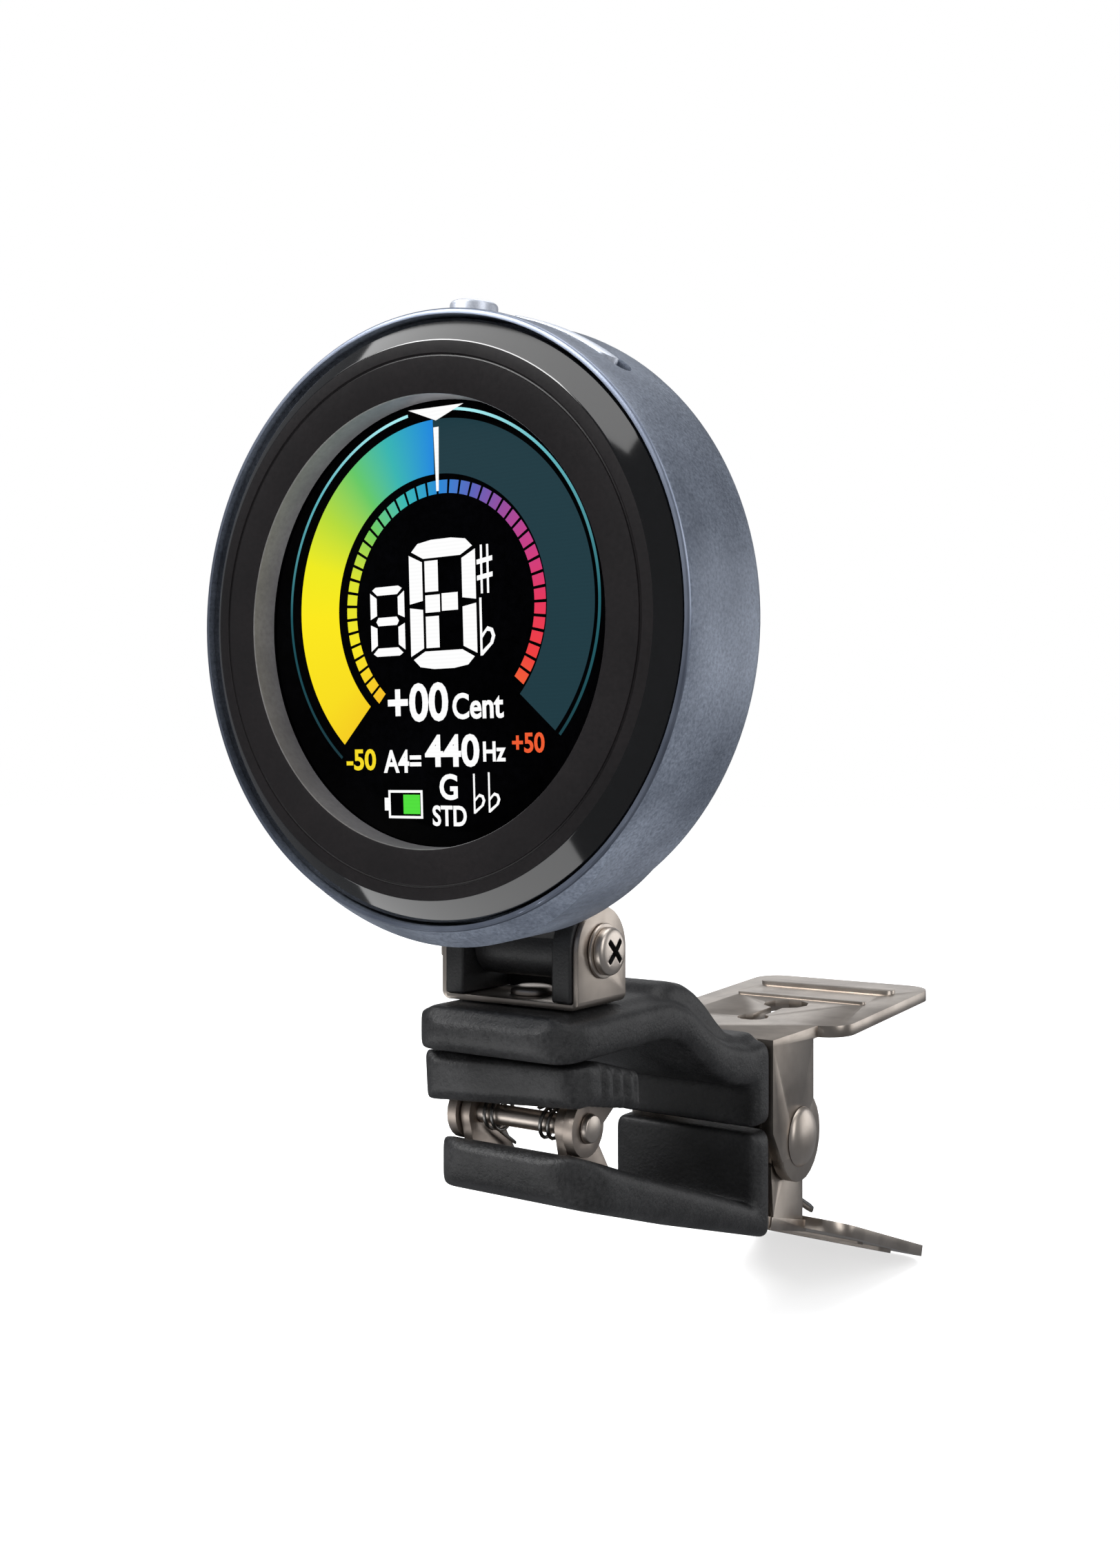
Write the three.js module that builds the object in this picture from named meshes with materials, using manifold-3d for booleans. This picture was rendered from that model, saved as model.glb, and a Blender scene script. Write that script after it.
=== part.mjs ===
// Clip-on tuner: a round display head on a tilting, swivelling neck, carried by a sprung
// two-lever clip with a rocking grip pad.  Millimetres, +X to the player's right, +Y away
// from the display, +Z up.  The shapes are laid out about the centre of the display's
// front edge, and the whole model is then moved so that the origin is the middle of the
// upper jaw's grip face.

import * as THREE from 'three';
import { mergeVertices } from 'three/addons/utils/BufferGeometryUtils.js';
import Module from 'manifold-3d';

const wasm = await Module();
wasm.setup();

// ---------------------------------------------------------------- driving dimensions

const GAP = 0.15;                  // air left between pieces that are fitted together
const WELD = 1e-4;                 // vertices closer than this are one vertex
const DEGREE = Math.PI / 180;
const FINE = 48;                   // sides of the large turned shapes
const MEDIUM = 24;                 // sides of pins and discs
const SMALL = 12;                  // sides of screws and bores

const HEAD_TILT = 2.36 * DEGREE;   // the head leans forward in the rest pose
const TILT_AXIS = { y: 14.6, z: -25.5 };
const HINGE_AXIS = { y: 50, z: -47.5 };
const PAD_AXIS = { y: 13.3, z: -39.7 };
const GRIP_FACE = { y: 18, z: -33.9 };

// head
const RIM_RADIUS = 23.05;
const CASE_REAR_RADIUS = 23.8;
const CASE_FRONT = -0.3;
const CASE_REAR = 9.8;
const CASE_INNER = 22.3;
const BEZEL_RADIUS = 22.5;
const BEZEL_FACE_RADIUS = 20.75;
const WINDOW_RADIUS = 16.9;
const BEZEL_FACE = -0.9;
const LENS_FACE = 1.5;
const CHIN_RADIUS = 20.7;
const CHIN_DROP = 4;
const KEY_PLANE = 4.3;             // the buttons' middle, behind the display's front edge
const POWER_ANGLE = 5.8 * DEGREE;
const ROCKER_ANGLE = 27.8 * DEGREE;
const ROCKER_SWEEP = 11.8 * DEGREE;
const ROCKER_SLOT_SWEEP = 15.2 * DEGREE;
const POST_RADIUS = 19.9;
const POST_ANGLES = [55, 125, 235, 305].map((angle) => angle * DEGREE);
const COVER_REAR = 10;

// neck
const EAR_INNER = 6.35;
const EAR_OUTER = 6.85;
const EAR_RADIUS = 3.6;
const LINER_INNER = 4.45;
const LINER_RADIUS = 3.9;
const BRACKET_FLOOR = -30;
const BRACKET_SHEET = 0.5;
const BARREL_RADIUS = 2.5;
const SCREW_RADIUS = 1;

// clip
const SHEET = 1.2;
const SLEEVE_HALF = 8.1;
const SLEEVE_BEVEL = 0.7;
const CROWN_HALF = 6.9;
const CROWN_BEVEL = 0.8;
const BLADE_HALF = 6.3;
const BLOCK_REAR = 43.3;
const UPPER_EAR = { inner: 6.8, outer: 8 };
const LOWER_EAR = { inner: 5.3, outer: 6.5 };
const TAB_HALF = 10.8;
const TAB_START = 54;
const PIN_RADIUS = 1.5;
const PAD_HALF = 8.2;
const PAD_POCKET_HALF = 7.2;
const PAD_TOP = -34.15;
const PAD_ROLL = -3.5;               // degrees; the rubber leans a little on its bracket
const PAD_EAR = { inner: 5.4, outer: 6.3 };
const ARM_EAR = { inner: 4.3, outer: 5.2 };
const PAD_LUG = 2.35;
const PAD_PIN_RADIUS = 0.85;

const UPPER_MIDLINE = [[12.6, -32.05], [25.2, -32.05], [28.2, -33], [31.6, -35.4],
  [34.8, -37.4], [37.4, -38], [41, -37.7], [44.5, -37.5]];
const LOWER_MIDLINE = [[12.9, -44.4], [46, -55.5], [54.5, -57.9]];
const LOWER_SLOPE = Math.atan2(55.5 - 44.4, 46 - 12.9);
const ARM_RIVET = { x: 3, y: 15.5, z: -45.27 };

const COLOURS = {
  aluminium: { color: 0x6f7b93, roughness: 0.45, metalness: 0.9 },
  silver: { color: 0xc9cdd4, roughness: 0.25, metalness: 1 },
  steel: { color: 0xb3aca4, roughness: 0.3, metalness: 1 },
  blackPlastic: { color: 0x232324, roughness: 0.6, metalness: 0 },
  glossBlack: { color: 0x0b0b0c, roughness: 0.08, metalness: 0 },
  rubber: { color: 0x2b2b2c, roughness: 0.75, metalness: 0 },
  board: { color: 0x1d5b3a, roughness: 0.5, metalness: 0 },
  foil: { color: 0x9aa0a6, roughness: 0.4, metalness: 0.8 },
  brass: { color: 0xb5903f, roughness: 0.35, metalness: 1 },
};

// ------------------------------------------------------------------- shape helpers

// Makes a solid of a closed geometry, with its shared vertices merged.
function solid(geometry) {
  const bare = geometry.clone();
  bare.deleteAttribute('normal');
  bare.deleteAttribute('uv');
  const merged = mergeVertices(bare, WELD);
  const index = merged.index.array;
  const kept = [];
  for (let i = 0; i < index.length; i += 3) {
    const [a, b, c] = [index[i], index[i + 1], index[i + 2]];
    if (a !== b && b !== c && c !== a) kept.push(a, b, c);
  }
  return new wasm.Manifold(new wasm.Mesh({
    numProp: 3,
    vertProperties: new Float32Array(merged.attributes.position.array),
    triVerts: new Uint32Array(kept),
  }));
}

function geometryOf(body) {
  const mesh = body.getMesh();
  const geometry = new THREE.BufferGeometry();
  geometry.setAttribute('position', new THREE.BufferAttribute(mesh.vertProperties, 3));
  geometry.setIndex(new THREE.BufferAttribute(mesh.triVerts, 1));
  geometry.computeVertexNormals();
  return geometry;
}

function join(...bodies) {
  return bodies.reduce((whole, body) => whole.add(body));
}

function cut(body, ...cutters) {
  return cutters.reduce((rest, cutter) => rest.subtract(cutter), body);
}

function outline(points) {
  return new THREE.Shape(points.map(([u, v]) => new THREE.Vector2(u, v)));
}

function disc(u, v, radius) {
  return new THREE.Shape().absarc(u, v, radius, 0, 2 * Math.PI, false);
}

// A slot shape with round ends: its full length lies along the first axis.
function slot(u, v, length, width) {
  const half = (length - width) / 2;
  const shape = new THREE.Shape();
  shape.absarc(u + half, v, width / 2, -Math.PI / 2, Math.PI / 2, false);
  shape.absarc(u - half, v, width / 2, Math.PI / 2, 1.5 * Math.PI, false);
  return shape;
}

function rectangle(u0, v0, u1, v1, corner = 0) {
  if (corner === 0) return outline([[u0, v0], [u1, v0], [u1, v1], [u0, v1]]);
  const shape = new THREE.Shape();
  shape.absarc(u1 - corner, v0 + corner, corner, -Math.PI / 2, 0, false);
  shape.absarc(u1 - corner, v1 - corner, corner, 0, Math.PI / 2, false);
  shape.absarc(u0 + corner, v1 - corner, corner, Math.PI / 2, Math.PI, false);
  shape.absarc(u0 + corner, v0 + corner, corner, Math.PI, 1.5 * Math.PI, false);
  return shape;
}

// Extrudes a shape between two stations and turns its axes onto the model's.
function extrude(shape, from, to, bevel, sides, basis) {
  const geometry = new THREE.ExtrudeGeometry(shape, {
    depth: to - from - 2 * bevel,
    bevelEnabled: bevel > 0,
    bevelThickness: bevel,
    bevelSize: bevel,
    bevelSegments: 1,
    curveSegments: sides,
  });
  geometry.translate(0, 0, from + bevel);
  geometry.applyMatrix4(basis);
  return geometry;
}

const axes = (x, y, z) => new THREE.Matrix4().makeBasis(
  new THREE.Vector3(...x), new THREE.Vector3(...y), new THREE.Vector3(...z));
const SHAPE_YZ = axes([0, 1, 0], [0, 0, 1], [1, 0, 0]);
const SHAPE_XZ = axes([1, 0, 0], [0, 0, 1], [0, -1, 0]);
const SHAPE_XY = new THREE.Matrix4();
const TURNED_ON_X = axes([0, 1, 0], [1, 0, 0], [0, 0, -1]);

// A (y, z) shape extruded along X, an (x, z) shape along Y, or an (x, y) shape along Z.
function alongX(shape, from, to, bevel = 0, sides = 5) {
  return solid(extrude(shape, from, to, bevel, sides, SHAPE_YZ));
}

function alongY(shape, from, to, bevel = 0, sides = 5) {
  return solid(extrude(shape, -to, -from, bevel, sides, SHAPE_XZ));
}

function alongZ(shape, from, to, bevel = 0, sides = 5) {
  return solid(extrude(shape, from, to, bevel, sides, SHAPE_XY));
}

// Turns a (radius, station) profile about an axis; an open profile ends on the axis.
function turned(profile, sides, basis) {
  const ring = profile.every(([radius]) => radius > 0);
  const loop = profile.map(([radius, station]) => new THREE.Vector2(radius, station));
  if (THREE.ShapeUtils.area(loop) < 0) loop.reverse();
  if (ring) loop.push(loop[0].clone());
  return new THREE.LatheGeometry(loop, sides).applyMatrix4(basis);
}

const turnedOnX = (profile, sides) => solid(turned(profile, sides, TURNED_ON_X));
const turnedOnY = (profile, sides) => solid(turned(profile, sides, SHAPE_XY));
const turnedOnZ = (profile, sides) => solid(turned(profile, sides, SHAPE_XZ));

function rod(radius, from, to) {
  return [[0, from], [radius, from], [radius, to], [0, to]];
}

function tube(inner, outer, from, to) {
  return [[inner, from], [outer, from], [outer, to], [inner, to]];
}

// The outline of a bent sheet of even thickness about its midline.
function sheetOutline(midline, thickness) {
  const points = midline.map(([u, v]) => new THREE.Vector2(u, v));
  const left = [];
  const right = [];
  points.forEach((point, i) => {
    const before = points[Math.max(i - 1, 0)];
    const after = points[Math.min(i + 1, points.length - 1)];
    const into = (i === 0 ? after.clone().sub(point) : point.clone().sub(before)).normalize();
    const out = (i === points.length - 1 ? into : after.clone().sub(point).normalize());
    const mean = into.clone().add(out).normalize();
    const normal = new THREE.Vector2(-mean.y, mean.x);
    const reach = thickness / 2 / normal.dot(new THREE.Vector2(-into.y, into.x));
    left.push(point.clone().addScaledVector(normal, reach));
    right.unshift(point.clone().addScaledVector(normal, -reach));
  });
  return new THREE.Shape([...left, ...right]);
}

// A round wire along a smooth path, with flat ends.
function wire(points, radius, steps) {
  const path = new THREE.CatmullRomCurve3(points.map((point) => new THREE.Vector3(...point)));
  const section = disc(0, 0, radius);
  return solid(new THREE.ExtrudeGeometry(section, { steps, extrudePath: path, curveSegments: 3 }));
}

const group = new THREE.Group();
group.position.set(0, -GRIP_FACE.y, -GRIP_FACE.z);
const head = new THREE.Group();
head.rotation.x = HEAD_TILT;
group.add(head);

function piece(parent, name, body, finish) {
  const mesh = new THREE.Mesh(geometryOf(body), new THREE.MeshStandardMaterial(COLOURS[finish]));
  mesh.name = name;
  parent.add(mesh);
}

// A point of the clip, written in the leaning head's own axes.
function inHead({ y, z }) {
  return {
    y: y * Math.cos(HEAD_TILT) + z * Math.sin(HEAD_TILT),
    z: -y * Math.sin(HEAD_TILT) + z * Math.cos(HEAD_TILT),
  };
}

// A solid turned on Z, swung to the given angle from the head's top, in the keys' plane.
function radial(profile, sides, angle) {
  const geometry = turned(profile, sides, SHAPE_XZ);
  return solid(geometry.rotateY(angle).translate(0, KEY_PLANE, 0));
}

// A ring sector of the head, as an (x, z) shape, about an angle from the top.
function sector(angle, sweep, inner, outer) {
  const steps = 8;
  const arc = (radius, start, end) => Array.from({ length: steps + 1 }, (_, i) => {
    const a = start + (end - start) * i / steps;
    return [radius * Math.sin(a), radius * Math.cos(a)];
  });
  return outline([...arc(outer, angle - sweep, angle + sweep),
    ...arc(inner, angle + sweep, angle - sweep)]);
}

// ------------------------------------------------------------------------- the head

function caseShell() {
  const wall = turnedOnY([[22.75, CASE_FRONT], [RIM_RADIUS, CASE_FRONT], [23.25, -0.05],
    [CASE_REAR_RADIUS, 8.3], [23.55, 9.35], [22.9, CASE_REAR], [CASE_INNER, CASE_REAR],
    [CASE_INNER, 8.6], [21.3, 8.6], [21.3, 7.7], [CASE_INNER, 7.2], [CASE_INNER, 3.2],
    [20.8, 3.2], [20.8, 2.2], [22.75, 2.2]], FINE);
  const cone = turnedOnY([[0, CASE_FRONT], [RIM_RADIUS, CASE_FRONT], [23.2, -0.1],
    [24.85, 2.6], [24.85, 8.6], [24.2, CASE_REAR], [0, CASE_REAR]], FINE);
  const lobe = turnedOnY(rod(CHIN_RADIUS, CASE_FRONT, CASE_REAR), FINE)
    .translate([0, 0, -CHIN_DROP]);
  const hollow = turnedOnY(rod(22.9, CASE_FRONT - 1, CASE_REAR + 1), FINE);
  const chin = lobe.intersect(cone).subtract(hollow);
  const posts = POST_ANGLES.map((angle) => turnedOnY(rod(2.6, 6.4, 8.6), SMALL)
    .translate([POST_RADIUS * Math.sin(angle), 0, POST_RADIUS * Math.cos(angle)]));
  const bores = POST_ANGLES.map((angle) => turnedOnY(rod(0.75, 5.8, 9), SMALL)
    .translate([POST_RADIUS * Math.sin(angle), 0, POST_RADIUS * Math.cos(angle)]));
  const keySlot = alongY(sector(ROCKER_ANGLE, ROCKER_SLOT_SWEEP - 3 * DEGREE, 20, 26),
    KEY_PLANE - 1.2, KEY_PLANE + 1.2);
  const slotEnds = [-1, 1].map((side) => radial(rod(1.2, 20, 26), SMALL,
    ROCKER_ANGLE + side * (ROCKER_SLOT_SWEEP - 3 * DEGREE)));
  const keyHole = radial(rod(2.05, 20, 26), MEDIUM, POWER_ANGLE);
  const socketHole = alongX(rectangle(KEY_PLANE - 1.85, -4.8, KEY_PLANE + 1.85, 4.8, 1.84),
    -26, -20);
  const flangeRooms = [radial(rod(2.5, 20, 22.15), SMALL, POWER_ANGLE),
    alongY(sector(ROCKER_ANGLE, ROCKER_SWEEP + 3 * DEGREE, 20.5, 22.2), 2.4, 6.2)];
  return cut(join(wall, chin, ...posts), keySlot, ...slotEnds, keyHole, socketHole,
    ...flangeRooms, ...bores);
}

// The black front ring: a flat face with a fine groove, a broad bevel and a deep window.
function bezelRing() {
  return turnedOnY([[WINDOW_RADIUS, BEZEL_FACE + 0.15], [WINDOW_RADIUS + 0.15, BEZEL_FACE],
    [19.6, BEZEL_FACE], [19.66, BEZEL_FACE + 0.12], [19.8, BEZEL_FACE + 0.12],
    [19.86, BEZEL_FACE], [BEZEL_FACE_RADIUS, BEZEL_FACE], [BEZEL_RADIUS, 0],
    [BEZEL_RADIUS, 2.05], [18.2, 2.05], [18.2, LENS_FACE - 0.1],
    [WINDOW_RADIUS, LENS_FACE - 0.1]], FINE);
}

function displayLens() {
  return turnedOnY(rod(17.95, LENS_FACE, LENS_FACE + 0.6), FINE);
}

// The round display module with its flat tail folded towards the board.
function displayPanel() {
  const module = turnedOnY(rod(16.6, 2.25, 3.8), FINE);
  const tail = alongY(rectangle(-4, -18.2, 4, -15, 0.5), 3.2, 3.8);
  return join(module, tail);
}

function mainBoard() {
  const plate = turnedOnY(rod(19.3, 5.3, 6.1), FINE);
  const socketNotch = alongY(rectangle(-20, -5.2, -16.8, 5.2), 5, 6.4);
  return cut(plate, socketNotch);
}

function battery() {
  return alongY(rectangle(-13, -9, 13, 12, 1.2), 6.35, 8.4, 0.4);
}

function pickupDisc() {
  return turnedOnY(rod(4, 8.2, 8.6), MEDIUM).translate([8, 0, -13.5]);
}

function keySwitch(angle) {
  const box = extrude(rectangle(-1.5, 3.9, 1.5, 5.15), 17.9, 20.2, 0, 4, SHAPE_XY);
  const plunger = turned(rod(0.6, 20, 20.6), SMALL, SHAPE_XZ).translate(0, KEY_PLANE + 0.2, 0);
  return join(solid(box), solid(plunger)).rotate([0, angle / DEGREE, 0]);
}

// A receptacle shell with its tongue on a solid back wall.
function chargeSocket() {
  const ring = (inset) => rectangle(KEY_PLANE - 1.63 + inset, -4.47 + inset,
    KEY_PLANE + 1.63 - inset, 4.47 - inset, 1.6 - inset);
  const shell = alongX(ring(0), -22.9, -17.2);
  const mouth = alongX(ring(0.3), -23.5, -17.9);
  const tongue = alongX(rectangle(KEY_PLANE - 0.35, -3.35, KEY_PLANE + 0.35, 3.35), -22.1, -17.5);
  return join(cut(shell, mouth), tongue);
}

function powerButton() {
  return radial([[0, 21.35], [2.2, 21.35], [2.2, 21.9], [1.85, 21.9], [1.85, 24.35],
    [1.6, 24.6], [0, 24.68]], MEDIUM, POWER_ANGLE);
}

function rockerButton() {
  const cap = alongY(sector(ROCKER_ANGLE, ROCKER_SWEEP - 2 * DEGREE, 21, 23.7),
    KEY_PLANE - 0.95, KEY_PLANE + 0.95);
  const ends = [-1, 1].map((side) => radial(rod(0.95, 21, 23.7), SMALL,
    ROCKER_ANGLE + side * (ROCKER_SWEEP - 2 * DEGREE)));
  const flange = alongY(sector(ROCKER_ANGLE, ROCKER_SWEEP + DEGREE, 20.9, 21.6),
    KEY_PLANE - 1.6, KEY_PLANE + 1.6);
  return join(cap, ...ends, flange);
}

function rearCover() {
  const plate = turnedOnY([[0, 8.75], [22.1, 8.75], [22.1, 9.75], [21.85, COVER_REAR],
    [0, COVER_REAR]], FINE);
  const sinks = POST_ANGLES.map((angle) => turnedOnY([[0, 8], [0.85, 8], [0.85, 9.2],
    [1.75, COVER_REAR + 0.1], [0, COVER_REAR + 0.1]], SMALL)
    .translate([POST_RADIUS * Math.sin(angle), 0, POST_RADIUS * Math.cos(angle)]));
  const footBores = [-2.4, 2.4].map((x) => turnedOnY(rod(0.75, 8, 11), SMALL)
    .translate([x, 0, -17.5]));
  const ring = turnedOnY(tube(13.4, 13.8, COVER_REAR - 0.15, COVER_REAR + 0.1), FINE);
  return cut(plate, ...sinks, ...footBores, ring);
}

function coverScrew(angle) {
  const body = turnedOnY([[0, 7], [0.65, 7], [0.65, 9.1], [1.55, 9.95], [0, 9.95]], SMALL);
  const bar = (turn) => alongY(rectangle(-1, -0.16, 1, 0.16), 9.5, 10.2).rotate([0, turn, 0]);
  return cut(body, bar(45), bar(135))
    .translate([POST_RADIUS * Math.sin(angle), 0, POST_RADIUS * Math.cos(angle)]);
}

// The foot screwed to the rear cover, with the barrel that the tilt screw passes through.
function neckFoot() {
  const axis = inHead(TILT_AXIS);
  const barrel = alongX(disc(axis.y, axis.z, BARREL_RADIUS), -4.25, 4.25, 0, MEDIUM / 2);
  const arm = alongX(outline([[10.15, -14.2], [11.3, -14.2], [12.2, -19.2],
    [axis.y + 2.2, axis.z + 1.2], [axis.y, axis.z], [axis.y - 2.2, axis.z + 1],
    [10.15, -23.3]]), -4.05, 4.05);
  const bore = alongX(disc(axis.y, axis.z, SCREW_RADIUS + 0.1), -6, 6, 0, SMALL / 2);
  const pilots = [-2.4, 2.4].map((x) => turnedOnY(rod(0.6, 9, 12.4), SMALL)
    .translate([x, 0, -17.5]));
  const relief = alongX(rectangle(11.9, -19.6, 13, -15), -1.2, 1.2);
  return cut(join(barrel, arm), bore, ...pilots, relief);
}

function footScrew(x) {
  const body = turnedOnY([[0, 8.0], [1.3, 8.0], [1.3, 8.6], [0.5, 8.6], [0.5, 11.9],
    [0, 11.9]], SMALL);
  return body.translate([x, 0, -17.5]);
}

// ------------------------------------------------------------------------- the neck

function neckBracket() {
  const ear = (from, to) => join(
    alongX(disc(TILT_AXIS.y, TILT_AXIS.z, EAR_RADIUS), from, to, 0, MEDIUM / 2),
    alongX(rectangle(TILT_AXIS.y - EAR_RADIUS, BRACKET_FLOOR, TILT_AXIS.y + EAR_RADIUS,
      TILT_AXIS.z), from, to));
  const floor = alongZ(rectangle(-EAR_OUTER, TILT_AXIS.y - EAR_RADIUS, EAR_OUTER,
    TILT_AXIS.y + EAR_RADIUS), BRACKET_FLOOR, BRACKET_FLOOR + BRACKET_SHEET);
  const screwBore = alongX(disc(TILT_AXIS.y, TILT_AXIS.z, SCREW_RADIUS + 0.1), -9, 9, 0, SMALL / 2);
  const rivetBore = turnedOnZ(rod(1.3, -31, -29), SMALL).translate([0, TILT_AXIS.y, 0]);
  return cut(join(ear(EAR_INNER, EAR_OUTER), ear(-EAR_OUTER, -EAR_INNER), floor),
    screwBore, rivetBore);
}

function bracketLiner(side) {
  const from = Math.min(side * LINER_INNER, side * (EAR_INNER - 0.05));
  const to = Math.max(side * LINER_INNER, side * (EAR_INNER - 0.05));
  const base = BRACKET_FLOOR + BRACKET_SHEET + 0.05;
  const body = join(
    alongX(disc(TILT_AXIS.y, TILT_AXIS.z, LINER_RADIUS), from, to, 0, MEDIUM / 2),
    alongX(rectangle(TILT_AXIS.y - LINER_RADIUS, base, TILT_AXIS.y + LINER_RADIUS,
      TILT_AXIS.z), from, to));
  return cut(body, alongX(disc(TILT_AXIS.y, TILT_AXIS.z, SCREW_RADIUS + 0.1), -9, 9, 0, SMALL / 2));
}

// The wall that joins the two liners behind the barrel and stops dirt reaching the rivet.
function rearLiner() {
  const rear = TILT_AXIS.y + EAR_RADIUS;
  return alongX(rectangle(rear - 1.1, BRACKET_FLOOR + BRACKET_SHEET + 0.05, rear, -28.2),
    -LINER_INNER + 0.05, LINER_INNER - 0.05);
}

// A low pan head with a cross recess, on a shank that reaches the nut.
function tiltScrew() {
  const body = turnedOnX([[0, -8.1], [SCREW_RADIUS, -8.1], [SCREW_RADIUS, 7.2], [1.95, 7.2],
    [1.95, 7.7], [1.7, 7.98], [1.2, 8.08], [0, 8.12]], MEDIUM);
  const bar = (turn) => alongX(rectangle(-1.2, -0.24, 1.2, 0.24), 7.5, 9)
    .rotate([turn, 0, 0]);
  return cut(body, bar(45), bar(135)).translate([0, TILT_AXIS.y, TILT_AXIS.z]);
}

function tiltWasher() {
  return turnedOnX(tube(SCREW_RADIUS + 0.1, 2.25, EAR_OUTER + 0.02, 7.17), MEDIUM)
    .translate([0, TILT_AXIS.y, TILT_AXIS.z]);
}

function tiltNut() {
  const hexagon = turnedOnX(rod(2.3, -8.3, -EAR_OUTER - 0.03), 6);
  const blind = turnedOnX(rod(SCREW_RADIUS + 0.05, -8.15, -6), SMALL);
  return cut(hexagon, blind).translate([0, TILT_AXIS.y, TILT_AXIS.z]);
}

function swivelRivet() {
  return turnedOnZ([[0, -33.2], [1.9, -33.2], [1.9, -32.8], [1.2, -32.8], [1.2, -29.43],
    [1.9, -29.43], [1.9, -29.1], [1.5, -28.85], [0, -28.75]], MEDIUM)
    .translate([0, TILT_AXIS.y, 0]);
}

function swivelBush() {
  return turnedOnZ(tube(1.3, 2.6, -31.4, BRACKET_FLOOR - 0.05), MEDIUM)
    .translate([0, TILT_AXIS.y, 0]);
}

// ------------------------------------------------------------------------- the clip

// Two ears, mirrored across the clip, from one (y, z) outline.
function ears(shape, { inner, outer }) {
  return join(alongX(shape, inner, outer, 0, MEDIUM / 2), alongX(shape, -outer, -inner, 0, MEDIUM / 2));
}

// The squeeze tab behind an ear: a rounded plate with two pressed beads, laid level.
function squeezeTab(length) {
  const plate = alongZ(rectangle(-TAB_HALF, TAB_START, TAB_HALF, TAB_START + length, 3),
    -SHEET, 0);
  const bead = alongZ(slot(0, TAB_START + length - 5.9, 16.6, 2.3), -0.1, 0.4);
  const fineBead = alongZ(slot(0, TAB_START + length - 13.2, 15.6, 1), -0.1, 0.25);
  return join(plate, bead, fineBead);
}

function keyhole() {
  const small = disc(0, 55.2, 1.7);
  const large = disc(0, 63.4, 2.5);
  return join(alongZ(small, -3, 2), alongZ(large, -3, 2),
    alongZ(rectangle(-0.7, 55.2, 0.7, 63.4), -3, 2));
}

function upperLever() {
  const blade = alongX(sheetOutline(UPPER_MIDLINE, SHEET), -BLADE_HALF, BLADE_HALF);
  const top = -36.9;
  const web = alongZ(rectangle(-UPPER_EAR.outer, BLOCK_REAR + 0.3, UPPER_EAR.outer, TAB_START + 2),
    top - SHEET, top);
  const ear = outline([[BLOCK_REAR + 0.3, top - 0.6], [BLOCK_REAR + 0.3, -46],
    [45.7, -49.2], [HINGE_AXIS.y, HINGE_AXIS.z], [53, -46], [53, top - 0.6]]);
  const lug = disc(HINGE_AXIS.y, HINGE_AXIS.z, 4.5);
  const tab = cut(squeezeTab(26.4), keyhole()).translate([0, -TAB_START, 0])
    .rotate([2.4, 0, 0]).translate([0, TAB_START, top]);
  const hinge = alongX(disc(HINGE_AXIS.y, HINGE_AXIS.z, PIN_RADIUS + 0.05), -9, 9, 0, MEDIUM / 2);
  const rivetBore = turnedOnZ(rod(1.25, -34, -30), SMALL).translate([0, TILT_AXIS.y, 0]);
  const keyholeWeb = keyhole().translate([0, 0, top]);
  return cut(join(blade, cut(web, keyholeWeb), ears(ear, UPPER_EAR), ears(lug, UPPER_EAR), tab),
    hinge, rivetBore);
}

// A moulded sleeve: a bevelled side outline, with the nose rounded in plan.
function sleeve(sideOutline, bevel, noseFront, noseCorner) {
  const body = alongX(outline(sideOutline), -SLEEVE_HALF, SLEEVE_HALF, bevel);
  return body.intersect(sleevePlan(noseFront, noseCorner));
}

function sleevePlan(noseFront, noseCorner) {
  return alongZ(rectangle(-SLEEVE_HALF, noseFront, SLEEVE_HALF, 60, noseCorner), -70, -20, 0, 10);
}

// The room that a blade needs inside its sleeve, open at the rear.
function bladePocket(midline) {
  return alongX(sheetOutline(midline, SHEET + 2 * GAP), -BLADE_HALF - GAP, BLADE_HALF + GAP);
}

// The upper sleeve has a crown along its back, narrower than its sides, with a hump
// behind the bracket.
function upperSleeve() {
  const side = [[7.9, -32.7], [7.9, -31.7], [8.4, -31.2], [23, -31.2], [24.5, -31.4],
    [27.6, -32.4], [29.5, -33.6], [31.2, -34.8], [33.2, -35.9], [35.4, -36.7], [39.6, -37.6],
    [40.9, -37.4], [42.4, -37.4], [42.7, -37.8], [42.7, -44.3], [40.6, -44.3], [40.6, -40.6],
    [39.6, -40.1], [36, -39.4], [32.9, -38], [29, -35.5], [26.8, -34.1], [24.1, -33.35],
    [21.2, -33.3], [8.5, -33.3]];
  const back = [[8.9, -30.95], [24.2, -30.95], [25.1, -30.35], [26.8, -30.2], [28.8, -30.6],
    [30.6, -31.45], [32.5, -32.75], [34.5, -34.4], [36.7, -35.95], [39.3, -36.7],
    [42.3, -36.9], [42.3, -38.5], [39, -38.5], [35, -37.2], [31.5, -35], [28, -32.8],
    [24.4, -32], [8.9, -32]];
  const crown = alongX(outline(back), -CROWN_HALF, CROWN_HALF, CROWN_BEVEL)
    .intersect(sleevePlan(7.9, 3.4));
  const pocket = bladePocket([[12.3, -32.05], ...UPPER_MIDLINE.slice(1)]);
  const bushBore = turnedOnZ(rod(2.75, -32, -29), MEDIUM).translate([0, TILT_AXIS.y, 0]);
  const tail = turnedOnZ(rod(2.1, -33.4, -32), SMALL).translate([0, TILT_AXIS.y, 0]);
  return cut(join(sleeve(side, 0.6, 7.3, 3.8), crown), pocket, bushBore, tail);
}

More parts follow.
